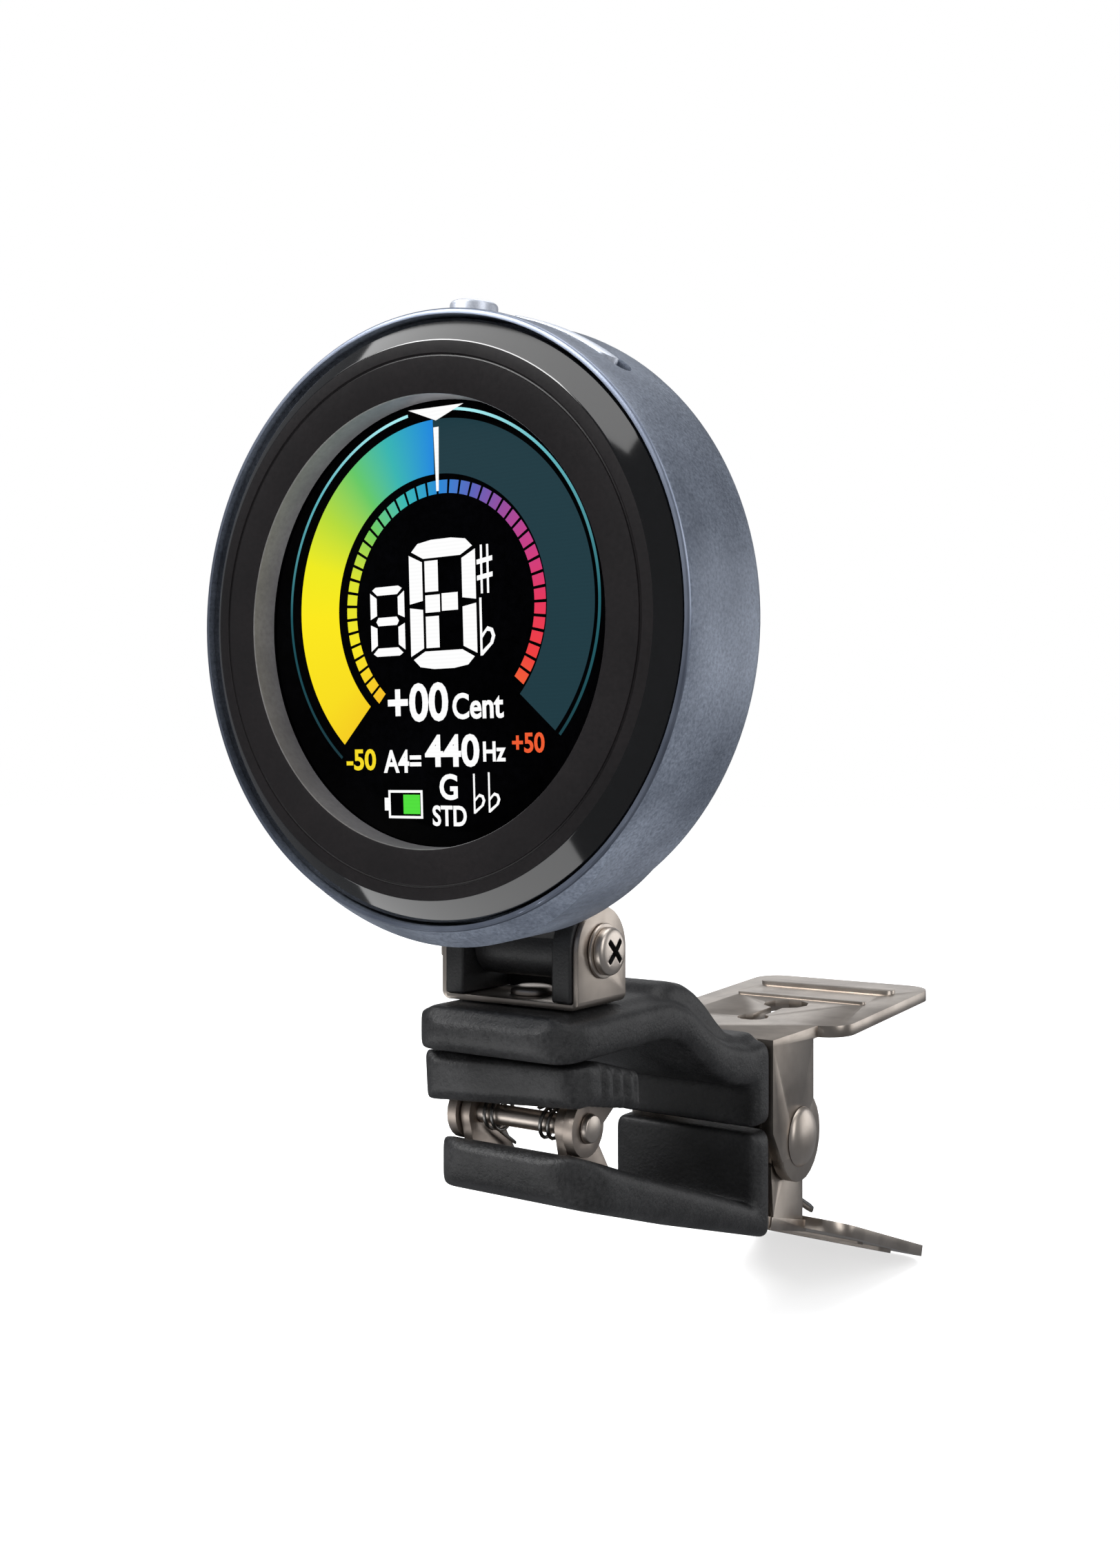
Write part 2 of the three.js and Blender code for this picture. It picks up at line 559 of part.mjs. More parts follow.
function lowerLever() {
  const blade = alongX(sheetOutline(LOWER_MIDLINE, SHEET), -BLADE_HALF, BLADE_HALF);
  const ear = outline([[46.8, -55.9], [46.2, -50], [HINGE_AXIS.y - 1, HINGE_AXIS.z],
    [HINGE_AXIS.y + 1, HINGE_AXIS.z], [53.6, -50], [53.6, -57.6]]);
  const lug = disc(HINGE_AXIS.y, HINGE_AXIS.z, 4.2);
  const flank = alongX(sheetOutline([[46.3, -55.6], [46.6, -55.7], [54.5, -57.9]], SHEET),
    -LOWER_EAR.outer, LOWER_EAR.outer);
  const tab = squeezeTab(26.4).mirror([0, 0, 1]).translate([0, -TAB_START, 0])
    .rotate([-20, 0, 0]).translate([0, TAB_START, -57.4 - SHEET / 2]);
  const hinge = alongX(disc(HINGE_AXIS.y, HINGE_AXIS.z, PIN_RADIUS + 0.05), -9, 9, 0, MEDIUM / 2);
  const rivets = [-ARM_RIVET.x, ARM_RIVET.x].map((x) => turnedOnZ(rod(0.95, -4, 4), SMALL)
    .rotate([-LOWER_SLOPE / DEGREE, 0, 0]).translate([x, ARM_RIVET.y, ARM_RIVET.z]));
  return cut(join(blade, flank, ears(ear, LOWER_EAR), ears(lug, LOWER_EAR), tab), hinge, ...rivets);
}

function lowerSleeve() {
  const side = [[10.4, -42.5], [10.9, -42.15], [20.3, -45.7], [34.6, -50.8], [40.7, -53],
    [40.7, -46.1], [42.6, -46.1], [42.6, -55.3], [33.8, -52.4], [24.8, -49.6],
    [12.1, -45.35], [10.7, -44.4]];
  const pocket = bladePocket([[12.6, -44.3], [46, -55.5], [54.5, -57.9]]);
  const bracketRoom = alongX(outline([[11.9, -40], [11.9, -43.9], [19.5, -46.5], [19.5, -40]]),
    -5.35, 5.35);
  const rivetWells = [-ARM_RIVET.x, ARM_RIVET.x].map((x) => turnedOnZ(rod(1.5, -4, 0), SMALL)
    .rotate([-LOWER_SLOPE / DEGREE, 0, 0]).translate([x, ARM_RIVET.y, ARM_RIVET.z]));
  return cut(sleeve(side, SLEEVE_BEVEL, 9.7, 4.6), pocket, bracketRoom, ...rivetWells);
}

function hingePin() {
  return turnedOnX([[0, -9], [1.6, -8.85], [2.6, -8.5], [3, -8.05], [PIN_RADIUS, -8.05],
    [PIN_RADIUS, 8.05], [3, 8.05], [2.6, 8.5], [1.6, 8.85], [0, 9]], MEDIUM)
    .translate([0, HINGE_AXIS.y, HINGE_AXIS.z]);
}

// A torsion coil on the hinge pin whose ends press the two squeeze tabs apart.
function mainSpring() {
  const coil = 2.5;
  const turns = 5;
  const perTurn = 14;
  const points = [[-4, 62, -38.75], [-4, 56, -41.3]];
  for (let i = 0; i <= turns * perTurn; i += 1) {
    const angle = 1.2 - i / perTurn * 2 * Math.PI;
    points.push([-4 + 8 * i / (turns * perTurn), HINGE_AXIS.y + coil * Math.cos(angle),
      HINGE_AXIS.z + coil * Math.sin(angle)]);
  }
  points.push([4, 55, -54.2], [4, 62, -58.6]);
  return wire(points, 0.5, 64);
}

function padBracket() {
  const roof = alongX(outline([[12, -36.2], [12, -36.9], [18.4, -38.5], [18.4, -37.8]]),
    -PAD_EAR.outer, PAD_EAR.outer);
  const ear = outline([[12, -36.4], [12, -37.4], [PAD_AXIS.y - PAD_LUG, PAD_AXIS.z],
    [PAD_AXIS.y + PAD_LUG, PAD_AXIS.z], [18.2, -38.1]]);
  const lug = disc(PAD_AXIS.y, PAD_AXIS.z, PAD_LUG);
  const bore = alongX(disc(PAD_AXIS.y, PAD_AXIS.z, PAD_PIN_RADIUS + 0.05), -8, 8, 0, SMALL / 2);
  return cut(join(roof, ears(ear, PAD_EAR), ears(lug, PAD_EAR)), bore);
}

// The rubber pad: chamfered all round, hollow below for its bracket, ribbed at the rear.
function gripPad() {
  const body = alongX(outline([[9.7, -36.7], [9.7, -35], [10.2, -34.5], [19, -37],
    [19, -38.7], [18.8, -38.85], [11.3, -37.25], [10.2, -37.25]]), -PAD_HALF, PAD_HALF, 0.7);
  const plan = alongZ(rectangle(-PAD_HALF, 9.05, PAD_HALF, 19.7, 2.4), -42, -30, 0, 8);
  const ribs = [12.9, 14.6, 16.2, 17.8].flatMap((y) => [-1, 1].map((side) => alongZ(
    rectangle(side * PAD_HALF - 0.45, y - 0.3, side * PAD_HALF + 0.45, y + 0.3), -42, -30)));
  const pocket = alongX(outline([[11.4, -35.5], [18.8, -37.15], [18.8, -42], [11.4, -42]]),
    -PAD_POCKET_HALF, PAD_POCKET_HALF);
  const rolled = cut(body.intersect(plan), pocket, ...ribs)
    .translate([0, 0, 36.5]).rotate([0, PAD_ROLL, 0]).translate([0, 0, -36.5]);
  return rolled.intersect(alongX(rectangle(5, -45, 25, PAD_TOP), -10, 10));
}

function padPin() {
  return turnedOnX([[0, -6.95], [1.1, -6.85], [1.25, -6.35], [PAD_PIN_RADIUS, -6.35],
    [PAD_PIN_RADIUS, 6.35], [1.25, 6.35], [1.1, 6.85], [0, 6.95]], 20)
    .translate([0, PAD_AXIS.y, PAD_AXIS.z]);
}

// Two fine coils on the pad's pin, joined by a bridge that bears on the pad's roof.
function padSpring() {
  const coil = 1.35;
  const turns = 2.5;
  const perTurn = 12;
  const half = [[3.7, 17.4, -43.2]];
  for (let i = 0; i <= turns * perTurn; i += 1) {
    const angle = -0.9 + i / perTurn * 2 * Math.PI;
    half.push([3.7 - 1.9 * i / (turns * perTurn), PAD_AXIS.y + coil * Math.cos(angle),
      PAD_AXIS.z + coil * Math.sin(angle)]);
  }
  half.push([1.5, 15.6, -38.2]);
  const mirrored = half.map(([x, y, z]) => [-x, y, z]).reverse();
  return wire([...half, ...mirrored], 0.2, 64);
}

function armBracket() {
  const base = alongX(outline([[12.1, -43.28], [12.1, -42.7], [19.2, -45.08], [19.2, -45.66]]),
    -ARM_EAR.outer, ARM_EAR.outer);
  const ear = outline([[12.2, -43], [PAD_AXIS.y - 1.9, PAD_AXIS.z], [PAD_AXIS.y + 1.9,
    PAD_AXIS.z], [18.9, -45.2]]);
  const lug = disc(PAD_AXIS.y, PAD_AXIS.z, 1.9);
  const bore = alongX(disc(PAD_AXIS.y, PAD_AXIS.z, PAD_PIN_RADIUS + 0.08), -8, 8, 0, SMALL / 2);
  const rivets = [-ARM_RIVET.x, ARM_RIVET.x].map((x) => turnedOnZ(rod(0.95, -4, 4), SMALL)
    .rotate([-LOWER_SLOPE / DEGREE, 0, 0]).translate([x, ARM_RIVET.y, ARM_RIVET.z]));
  return cut(join(base, ears(ear, ARM_EAR), ears(lug, ARM_EAR)), bore, ...rivets);
}

function armRivet(x) {
  return turnedOnZ([[0, -1.05], [1.35, -1.05], [1.35, -0.65], [0.85, -0.65], [0.85, 1.42],
    [1.3, 1.42], [1.1, 1.7], [0, 1.8]], SMALL)
    .rotate([-LOWER_SLOPE / DEGREE, 0, 0]).translate([x, ARM_RIVET.y, ARM_RIVET.z]);
}

// ------------------------------------------------------------------------- assembly

piece(head, 'case_shell', caseShell(), 'aluminium');
piece(head, 'bezel_ring', bezelRing(), 'glossBlack');
piece(head, 'display_lens', displayLens(), 'glossBlack');
piece(head, 'display_panel', displayPanel(), 'foil');
piece(head, 'main_board', mainBoard(), 'board');
piece(head, 'battery', battery(), 'foil');
piece(head, 'pickup_disc', pickupDisc(), 'brass');
piece(head, 'charge_socket', chargeSocket(), 'steel');
piece(head, 'power_switch', keySwitch(POWER_ANGLE), 'foil');
piece(head, 'rocker_switch_left', keySwitch(ROCKER_ANGLE - 8.5 * DEGREE), 'foil');
piece(head, 'rocker_switch_right', keySwitch(ROCKER_ANGLE + 8.5 * DEGREE), 'foil');
piece(head, 'power_button', powerButton(), 'silver');
piece(head, 'rocker_button', rockerButton(), 'silver');
piece(head, 'rear_cover', rearCover(), 'blackPlastic');
POST_ANGLES.forEach((angle, i) => piece(head, `cover_screw_${i + 1}`, coverScrew(angle), 'steel'));
piece(head, 'neck_foot', neckFoot(), 'blackPlastic');
piece(head, 'foot_screw_left', footScrew(-2.4), 'steel');
piece(head, 'foot_screw_right', footScrew(2.4), 'steel');

piece(group, 'neck_bracket', neckBracket(), 'steel');
piece(group, 'liner_left', bracketLiner(-1), 'blackPlastic');
piece(group, 'liner_right', bracketLiner(1), 'blackPlastic');
piece(group, 'liner_rear', rearLiner(), 'blackPlastic');
piece(group, 'tilt_screw', tiltScrew(), 'silver');
piece(group, 'tilt_washer', tiltWasher(), 'steel');
piece(group, 'tilt_nut', tiltNut(), 'steel');
piece(group, 'swivel_rivet', swivelRivet(), 'steel');
piece(group, 'swivel_bush', swivelBush(), 'blackPlastic');

piece(group, 'upper_lever', upperLever(), 'steel');
piece(group, 'upper_sleeve', upperSleeve(), 'rubber');
piece(group, 'lower_lever', lowerLever(), 'steel');
piece(group, 'lower_sleeve', lowerSleeve(), 'rubber');
piece(group, 'hinge_pin', hingePin(), 'silver');
piece(group, 'main_spring', mainSpring(), 'steel');
piece(group, 'pad_bracket', padBracket(), 'steel');
piece(group, 'grip_pad', gripPad(), 'rubber');
piece(group, 'pad_pin', padPin(), 'silver');
piece(group, 'pad_spring', padSpring(), 'steel');
piece(group, 'arm_bracket', armBracket(), 'steel');
piece(group, 'arm_rivet_left', armRivet(-ARM_RIVET.x), 'steel');
piece(group, 'arm_rivet_right', armRivet(ARM_RIVET.x), 'steel');

export default group;
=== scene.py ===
"""Clip-on tuner: the finished looks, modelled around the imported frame.

Every length is written in millimetres and turned to metres by MM. The head is modelled
upright about the middle of its display and then leaned and moved to its place.
"""

import logging
import math
from contextlib import contextmanager
from dataclasses import dataclass, field
from enum import Enum
from typing import Callable, Iterator, Sequence

import bpy
from mathutils import Matrix, Vector


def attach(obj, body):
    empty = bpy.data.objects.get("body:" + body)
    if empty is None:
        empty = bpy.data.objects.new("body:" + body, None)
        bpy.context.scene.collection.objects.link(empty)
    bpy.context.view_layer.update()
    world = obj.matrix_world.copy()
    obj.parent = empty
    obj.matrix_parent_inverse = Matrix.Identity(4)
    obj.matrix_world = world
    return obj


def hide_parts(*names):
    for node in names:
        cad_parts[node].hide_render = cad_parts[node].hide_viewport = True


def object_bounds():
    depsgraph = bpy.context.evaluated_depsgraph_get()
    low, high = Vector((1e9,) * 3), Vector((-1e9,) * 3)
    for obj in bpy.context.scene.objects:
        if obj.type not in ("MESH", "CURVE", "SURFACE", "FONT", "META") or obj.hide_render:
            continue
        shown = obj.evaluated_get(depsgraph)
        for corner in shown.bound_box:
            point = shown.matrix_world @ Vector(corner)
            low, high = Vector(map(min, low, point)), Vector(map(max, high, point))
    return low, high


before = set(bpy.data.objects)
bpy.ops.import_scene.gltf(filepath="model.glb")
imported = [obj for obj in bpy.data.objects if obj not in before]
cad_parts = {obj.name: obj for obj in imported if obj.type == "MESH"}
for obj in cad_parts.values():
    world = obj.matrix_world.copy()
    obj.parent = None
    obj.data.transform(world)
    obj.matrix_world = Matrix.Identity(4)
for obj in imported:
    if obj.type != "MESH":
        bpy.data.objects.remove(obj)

MM = 0.001
CAD_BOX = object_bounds()
HEAD_CENTRE = Vector((0, -18, 33.9)) * MM
HEAD_LEAN = math.radians(2.36)
ROUND = 160
SMALL_ROUND = 48

Point = tuple[float, float]
log = logging.getLogger("tuner")


class Facing(Enum):
    """The plane that an outline is drawn in, and so the way it is extruded."""

    SIDE = "drawn in (y, z), extruded along X"
    FRONT = "drawn in (x, z), extruded along Y"
    TOP = "drawn in (x, y), extruded along Z"


FACING_TURNS = {
    Facing.SIDE: Matrix(((0, 0, 1, 0), (1, 0, 0, 0), (0, 1, 0, 0), (0, 0, 0, 1))),
    Facing.FRONT: Matrix(((1, 0, 0, 0), (0, 0, -1, 0), (0, 1, 0, 0), (0, 0, 0, 1))),
    Facing.TOP: Matrix.Identity(4),
}


class Slot(Enum):
    """The record's material slots, one named for each new piece."""

    CASE = "case_aluminium"
    BEZEL = "bezel_gloss_black"
    DISPLAY = "display_black"
    FOIL = "foil"
    BOARD = "circuit_board"
    BRASS = "pickup_brass"
    STEEL = "steel"
    SCREW = "screw_steel"
    SPRING = "spring_steel"
    BUTTON = "button_silver"
    PLASTIC = "black_plastic"
    RUBBER = "rubber"


# ---------------------------------------------------------------- bench tools


def deselect_all() -> None:
    """Leaves nothing selected, so that an operator acts only on what is chosen next."""
    bpy.ops.object.select_all(action="DESELECT")


def activate(piece: bpy.types.Object) -> None:
    """Makes one object the selected and active one.

    Args:
        piece: The object to work on.
    """
    deselect_all()
    piece.select_set(True)
    bpy.context.view_layer.objects.active = piece


@contextmanager
def editing(piece: bpy.types.Object) -> Iterator[None]:
    """Opens an object in edit mode, with everything selected, for the block's length.

    Args:
        piece: The object to edit.
    """
    activate(piece)
    bpy.ops.object.mode_set(mode="EDIT")
    bpy.ops.mesh.select_all(action="SELECT")
    yield
    bpy.ops.object.mode_set(mode="OBJECT")


def settle(piece: bpy.types.Object, turn: Matrix = Matrix.Identity(4)) -> bpy.types.Object:
    """Puts an object's place into its mesh, so that the object sits at the origin.

    Args:
        piece: The object.
        turn: A further rotation and move to give it first.

    Returns:
        The same object.
    """
    activate(piece)
    piece.matrix_world = turn @ piece.matrix_world
    bpy.context.view_layer.update()
    bpy.ops.object.transform_apply(location=True, rotation=True, scale=True)
    return piece


def tidy_normals(piece: bpy.types.Object, weld: float = 0.0005) -> None:
    """Merges doubled vertices and turns every face outwards.

    Args:
        piece: The mesh object.
        weld: Vertices closer than this, in millimetres, become one.
    """
    with editing(piece):
        bpy.ops.mesh.remove_doubles(threshold=weld * MM)
        bpy.ops.mesh.normals_make_consistent(inside=False)


def turned(name: str, profile: Sequence[Point], sides: int = ROUND, ring: bool = False,
           axis: Vector = Vector((0, 1, 0))) -> bpy.types.Object:
    """Turns a (radius, station) profile about an axis through the origin.

    Args:
        name: The new object's name.
        profile: Radius and station along the axis, in millimetres, in order.
        sides: The number of sides round the axis.
        ring: True joins the last circle to the first; False caps both ends.
        axis: The direction of the axis.

    Returns:
        The new mesh object.
    """
    deselect_all()
    start_radius, start = profile[0]
    bpy.ops.mesh.primitive_circle_add(vertices=sides, radius=start_radius * MM)
    piece = bpy.context.object
    piece.name = name
    with editing(piece):
        bpy.ops.transform.translate(value=(0, 0, start * MM))
        for (radius, station), (wider, onward) in zip(profile, profile[1:]):
            bpy.ops.mesh.extrude_region_move(
                TRANSFORM_OT_translate={"value": (0, 0, (onward - station) * MM)})
            grow = wider / radius
            bpy.ops.transform.resize(value=(grow, grow, 1), center_override=(0, 0, 0))
        bpy.ops.mesh.select_all(action="DESELECT")
        bpy.ops.mesh.select_non_manifold()
        if ring:
            bpy.ops.mesh.bridge_edge_loops()
        else:
            bpy.ops.mesh.fill_holes(sides=0)
    tidy_normals(piece)
    return settle(piece, Vector((0, 0, 1)).rotation_difference(axis).to_matrix().to_4x4())


def drawn(name: str, outline: Sequence[Point], low: float, high: float,
          facing: Facing) -> bpy.types.Object:
    """Draws an outline point by point and extrudes it into a closed solid.

    Args:
        name: The new object's name.
        outline: The corner points, in millimetres, in order.
        low: The station of one face along the extruded axis.
        high: The station of the other face.
        facing: The plane of the outline.

    Returns:
        The new mesh object.
    """
    deselect_all()
    bpy.ops.mesh.primitive_plane_add(size=MM)
    piece = bpy.context.object
    piece.name = name
    first = outline[0]
    if facing is Facing.FRONT:
        low, high = -high, -low
    with editing(piece):
        bpy.ops.mesh.merge(type="CENTER")
        bpy.ops.transform.translate(value=(first[0] * MM, first[1] * MM, low * MM))
        for (u, v), (next_u, next_v) in zip(outline, outline[1:]):
            step = ((next_u - u) * MM, (next_v - v) * MM, 0)
            bpy.ops.mesh.extrude_region_move(TRANSFORM_OT_translate={"value": step})
        bpy.ops.mesh.select_all(action="SELECT")
        bpy.ops.mesh.edge_face_add()
        bpy.ops.mesh.extrude_region_move(
            TRANSFORM_OT_translate={"value": (0, 0, (high - low) * MM)})
    tidy_normals(piece)
    return settle(piece, FACING_TURNS[facing])


def arc(u: float, v: float, radius: float, start: float, end: float,
        steps: int = 12) -> list[Point]:
    """Points along an arc.

    Args:
        u: The centre's first coordinate.
        v: The centre's second coordinate.
        radius: The arc's radius.
        start: The first angle, in degrees from the first axis.
        end: The last angle, in degrees.
        steps: How many straight steps it takes.

    Returns:
        The points, both ends among them.
    """
    angles = [math.radians(start + (end - start) * i / steps) for i in range(steps + 1)]
    return [(u + radius * math.cos(a), v + radius * math.sin(a)) for a in angles]


def round_box(u0: float, v0: float, u1: float, v1: float, corner: float,
              steps: int = 6) -> list[Point]:
    """The outline of a rectangle with round corners.

    Args:
        u0: Left edge.
        v0: Lower edge.
        u1: Right edge.
        v1: Upper edge.
        corner: The corner radius.
        steps: Straight steps in each corner.

    Returns:
        The outline's points.
    """
    return [*arc(u1 - corner, v0 + corner, corner, -90, 0, steps),
            *arc(u1 - corner, v1 - corner, corner, 0, 90, steps),
            *arc(u0 + corner, v1 - corner, corner, 90, 180, steps),
            *arc(u0 + corner, v0 + corner, corner, 180, 270, steps)]


def copy_of_node(node: str, name: str) -> bpy.types.Object:
    """Copies a frame piece's mesh, merged and with its flat faces made whole.

    Args:
        node: The frame piece's name.
        name: The new object's name.

    Returns:
        The new mesh object.
    """
    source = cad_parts[node]
    piece = bpy.data.objects.new(name, source.data.copy())
    piece.matrix_world = source.matrix_world
    bpy.context.scene.collection.objects.link(piece)
    piece.data.materials.clear()
    with editing(piece):
        bpy.ops.mesh.remove_doubles(threshold=0.001 * MM)
        bpy.ops.mesh.dissolve_limited(angle_limit=math.radians(1))
    return settle(piece)


def combine(piece: bpy.types.Object, other: bpy.types.Object, way: str) -> bpy.types.Object:
    """Joins, cuts or keeps the common part of two solids, and removes the second.

    Args:
        piece: The solid that stays.
        other: The tool solid.
        way: UNION, DIFFERENCE or INTERSECT.

    Returns:
        The first solid.
    """
    activate(piece)
    modifier = piece.modifiers.new("cut", "BOOLEAN")
    modifier.operation = way
    modifier.solver = "EXACT"
    modifier.object = other
    bpy.ops.object.modifier_apply(modifier=modifier.name)
    bpy.data.objects.remove(other, do_unlink=True)
    return piece


def soften(piece: bpy.types.Object, width: float, segments: int = 2,
           angle: float = 35.0) -> bpy.types.Object:
    """Rounds the sharp edges and smooths the shading up to the same angle.

    Args:
        piece: The mesh object.
        width: The rounding's width in millimetres.
        segments: How many strips the rounding has.
        angle: Edges sharper than this many degrees are rounded.

    Returns:
        The same object.
    """
    activate(piece)
    if width > 0:
        modifier = piece.modifiers.new("soften", "BEVEL")
        modifier.width = width * MM
        modifier.segments = segments
        modifier.limit_method = "ANGLE"
        modifier.angle_limit = math.radians(angle)
        modifier.use_clamp_overlap = True
        modifier.miter_outer = "MITER_ARC"
        bpy.ops.object.modifier_apply(modifier=modifier.name)
    bpy.ops.object.shade_smooth_by_angle(angle=math.radians(angle))
    return piece


def join_all(name: str, parts: Sequence[bpy.types.Object]) -> bpy.types.Object:
    """Joins several objects into one that keeps their materials.

    Args:
        name: The joined object's name.
        parts: The objects to join.

    Returns:
        The joined object.
    """
    activate(parts[0])
    for part in parts[1:]:
        part.select_set(True)
    bpy.ops.object.join()
    parts[0].name = name
    return parts[0]


def shift_to_head(piece: bpy.types.Object) -> bpy.types.Object:
    """Leans an upright head piece and moves it to the head's place.

    Args:
        piece: A piece modelled about the middle of the display.

    Returns:
        The same object.
    """
    return settle(piece, Matrix.Translation(HEAD_CENTRE) @ Matrix.Rotation(HEAD_LEAN, 4, "X"))


def dress(piece: bpy.types.Object, finish: bpy.types.Material) -> bpy.types.Object:
    """Gives a piece one finish all over.

    Args:
        piece: The mesh object.
        finish: Its material.

    Returns:
        The same object.
    """
    piece.data.materials.clear()
    piece.data.materials.append(finish)
    return piece


def paint(piece: bpy.types.Object, finish: bpy.types.Material,
          pick: Callable[[Vector, Vector], bool]) -> bpy.types.Object:
    """Gives some of a piece's faces another finish.

    Args:
        piece: The mesh object.
        finish: The material for the chosen faces.
        pick: Says from a face's middle, in millimetres, and its normal whether it is chosen.

    Returns:
        The same object.
    """
    piece.data.materials.append(finish)
    index = len(piece.data.materials) - 1
    for face in piece.data.polygons:
        if pick(face.center / MM, face.normal):
            face.material_index = index
    return piece


def hand_over(piece: bpy.types.Object, body: str, slot: Slot, *stands_for: str) -> bpy.types.Object:
    """Hands a finished piece to the frame.

    Args:
        piece: The finished mesh object.
        body: The frame body that it rides on.
        slot: The record's slot for its finish; not used.
        stands_for: The frame pieces that it replaces.

    Returns:
        The same object.
    """
    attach(piece, body)
    if stands_for:
        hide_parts(*stands_for)
    log.info("%s rides on %s, %d faces", piece.name, body, len(piece.data.polygons))
    return piece


def refine(node: str, name: str, body: str, slot: Slot, finish: bpy.types.Material,
           width: float, segments: int = 2) -> bpy.types.Object:
    """Replaces a frame piece by a copy with rounded edges.

    Args:
        node: The frame piece.
        name: The new piece's name.
        body: The frame body that it rides on.
        slot: The record's slot, handed on to hand_over.
        finish: Its material.
        width: The edge rounding in millimetres.
        segments: How many strips the rounding has.

    Returns:
        The new piece.
    """
    piece = soften(copy_of_node(node, name), width, segments)
    return hand_over(dress(piece, finish), body, slot, node)


def cast(node: str, name: str, grain: float, passes: int) -> bpy.types.Object:
    """Copies a frame piece as a moulding, with every edge evenly rounded.

    Args:
        node: The frame piece.
        name: The new piece's name.
        grain: The mesh size of the moulding, in millimetres.
        passes: How many times it is smoothed; more makes rounder edges.

    Returns:
        The new mesh object.
    """
    piece = copy_of_node(node, name)
    activate(piece)
    remesh = piece.modifiers.new("mould", "REMESH")
    remesh.mode = "VOXEL"
    remesh.voxel_size = grain * MM
    bpy.ops.object.modifier_apply(modifier=remesh.name)
    smooth = piece.modifiers.new("round", "SMOOTH")
    smooth.factor = 0.5
    smooth.iterations = passes
    bpy.ops.object.modifier_apply(modifier=smooth.name)
    bpy.ops.object.shade_smooth()
    return piece


def finish_node(node: str, finish: bpy.types.Material) -> None:
    """Gives a frame piece that stays a better finish.

    Args:
        node: The frame piece's name.
        finish: Its material.
    """
    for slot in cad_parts[node].material_slots:
        slot.material = finish
    log.info("%s stays, finished as %s", node, finish.name)


# ------------------------------------------------------------------ finishes


def linear(hex_code: str) -> tuple[float, float, float, float]:
    """Turns an sRGB hex colour to linear light.

    Args:
        hex_code: Six hex digits after a hash.

    Returns:
        Red, green, blue and alpha.
    """
    channels = [int(hex_code[i:i + 2], 16) / 255 for i in (1, 3, 5)]
    bright = [c / 12.92 if c <= 0.04045 else ((c + 0.055) / 1.055) ** 2.4 for c in channels]
    return (bright[0], bright[1], bright[2], 1.0)


def add_node(material: bpy.types.Material, kind: str, settings: dict[str, object],
             links: dict[str, bpy.types.NodeSocket]) -> bpy.types.Node:
    """Adds one shader node with its settings and its incoming links.

    Args:
        material: The material to add to.
        kind: The node's type name.
        settings: Input names or node attributes, with their values.
        links: Input names with the sockets that feed them.

    Returns:
        The new node.
    """
    node = material.node_tree.nodes.new(kind)
    for key, value in settings.items():
        if key in node.inputs:
            node.inputs[key].default_value = value
        else:
            setattr(node, key, value)
    for key, source in links.items():
        material.node_tree.links.new(source, node.inputs[key])
    return node


def blank(name: str) -> bpy.types.Material:
    """Makes an empty node material with an output.

    Args:
        name: The material's name.

    Returns:
        The material.
    """
    material = bpy.data.materials.new(name)
    material.use_nodes = True
    material.node_tree.nodes.clear()
    add_node(material, "ShaderNodeOutputMaterial", {}, {})
    return material


def show(material: bpy.types.Material, shader: bpy.types.Node) -> None:
    """Sends a shader to the material's output.

    Args:
        material: The material.
        shader: Its last shader node.
    """
    output = next(n for n in material.node_tree.nodes if n.type == "OUTPUT_MATERIAL")
    material.node_tree.links.new(shader.outputs[0], output.inputs["Surface"])


def per_mm(size: float) -> float:
    """A noise scale whose features are about this many millimetres wide."""
    return 1 / (size * MM)


@dataclass(frozen=True)
class GrainedFinish:
    """A surface with fine grain in its colour, gloss and relief.

    The grain stands for sandblasting, moulded spark texture or rubber grain, and the
    slower mottling keeps a wide face from looking printed.
    """

    name: str
    colour: str
    dark_colour: str
    metallic: float
    roughness: float
    roughness_spread: float
    grain: float
    relief: float
    mottle: float = 6.0
    coat: float = 0.0
    specular: float = 0.5

    def make(self) -> bpy.types.Material:
        """Builds the material.

        Returns:
            The material.
        """
        material = blank(self.name)
        place = add_node(material, "ShaderNodeTexCoord", {}, {}).outputs["Object"]
        grain = add_node(material, "ShaderNodeTexNoise",
                         {"Scale": per_mm(self.grain), "Detail": 3.0, "Roughness": 0.65},
                         {"Vector": place})
        mottle = add_node(material, "ShaderNodeTexNoise",
                          {"Scale": per_mm(self.mottle), "Detail": 2.0}, {"Vector": place})
        both = add_node(material, "ShaderNodeMath", {"operation": "MULTIPLY"}, {})
        material.node_tree.links.new(grain.outputs["Fac"], both.inputs[0])
        material.node_tree.links.new(mottle.outputs["Fac"], both.inputs[1])
        tint = add_node(material, "ShaderNodeValToRGB", {}, {"Fac": both.outputs[0]})
        tint.color_ramp.elements[0].position = 0.1
        tint.color_ramp.elements[0].color = linear(self.dark_colour)
        tint.color_ramp.elements[1].position = 0.42
        tint.color_ramp.elements[1].color = linear(self.colour)
        gloss = add_node(material, "ShaderNodeMapRange",
                         {"To Min": self.roughness - self.roughness_spread,
                          "To Max": self.roughness + self.roughness_spread},
                         {"Value": grain.outputs["Fac"]})
        bump = add_node(material, "ShaderNodeBump",
                        {"Strength": 1.0, "Distance": self.relief * MM},
                        {"Height": grain.outputs["Fac"]})
        shader = add_node(material, "ShaderNodeBsdfPrincipled",
                          {"Metallic": self.metallic, "Coat Weight": self.coat,
                           "Coat Roughness": 0.08, "Specular IOR Level": self.specular},
                          {"Base Color": tint.outputs["Color"],
                           "Roughness": gloss.outputs["Result"],
                           "Normal": bump.outputs["Normal"]})
        show(material, shader)
        return material


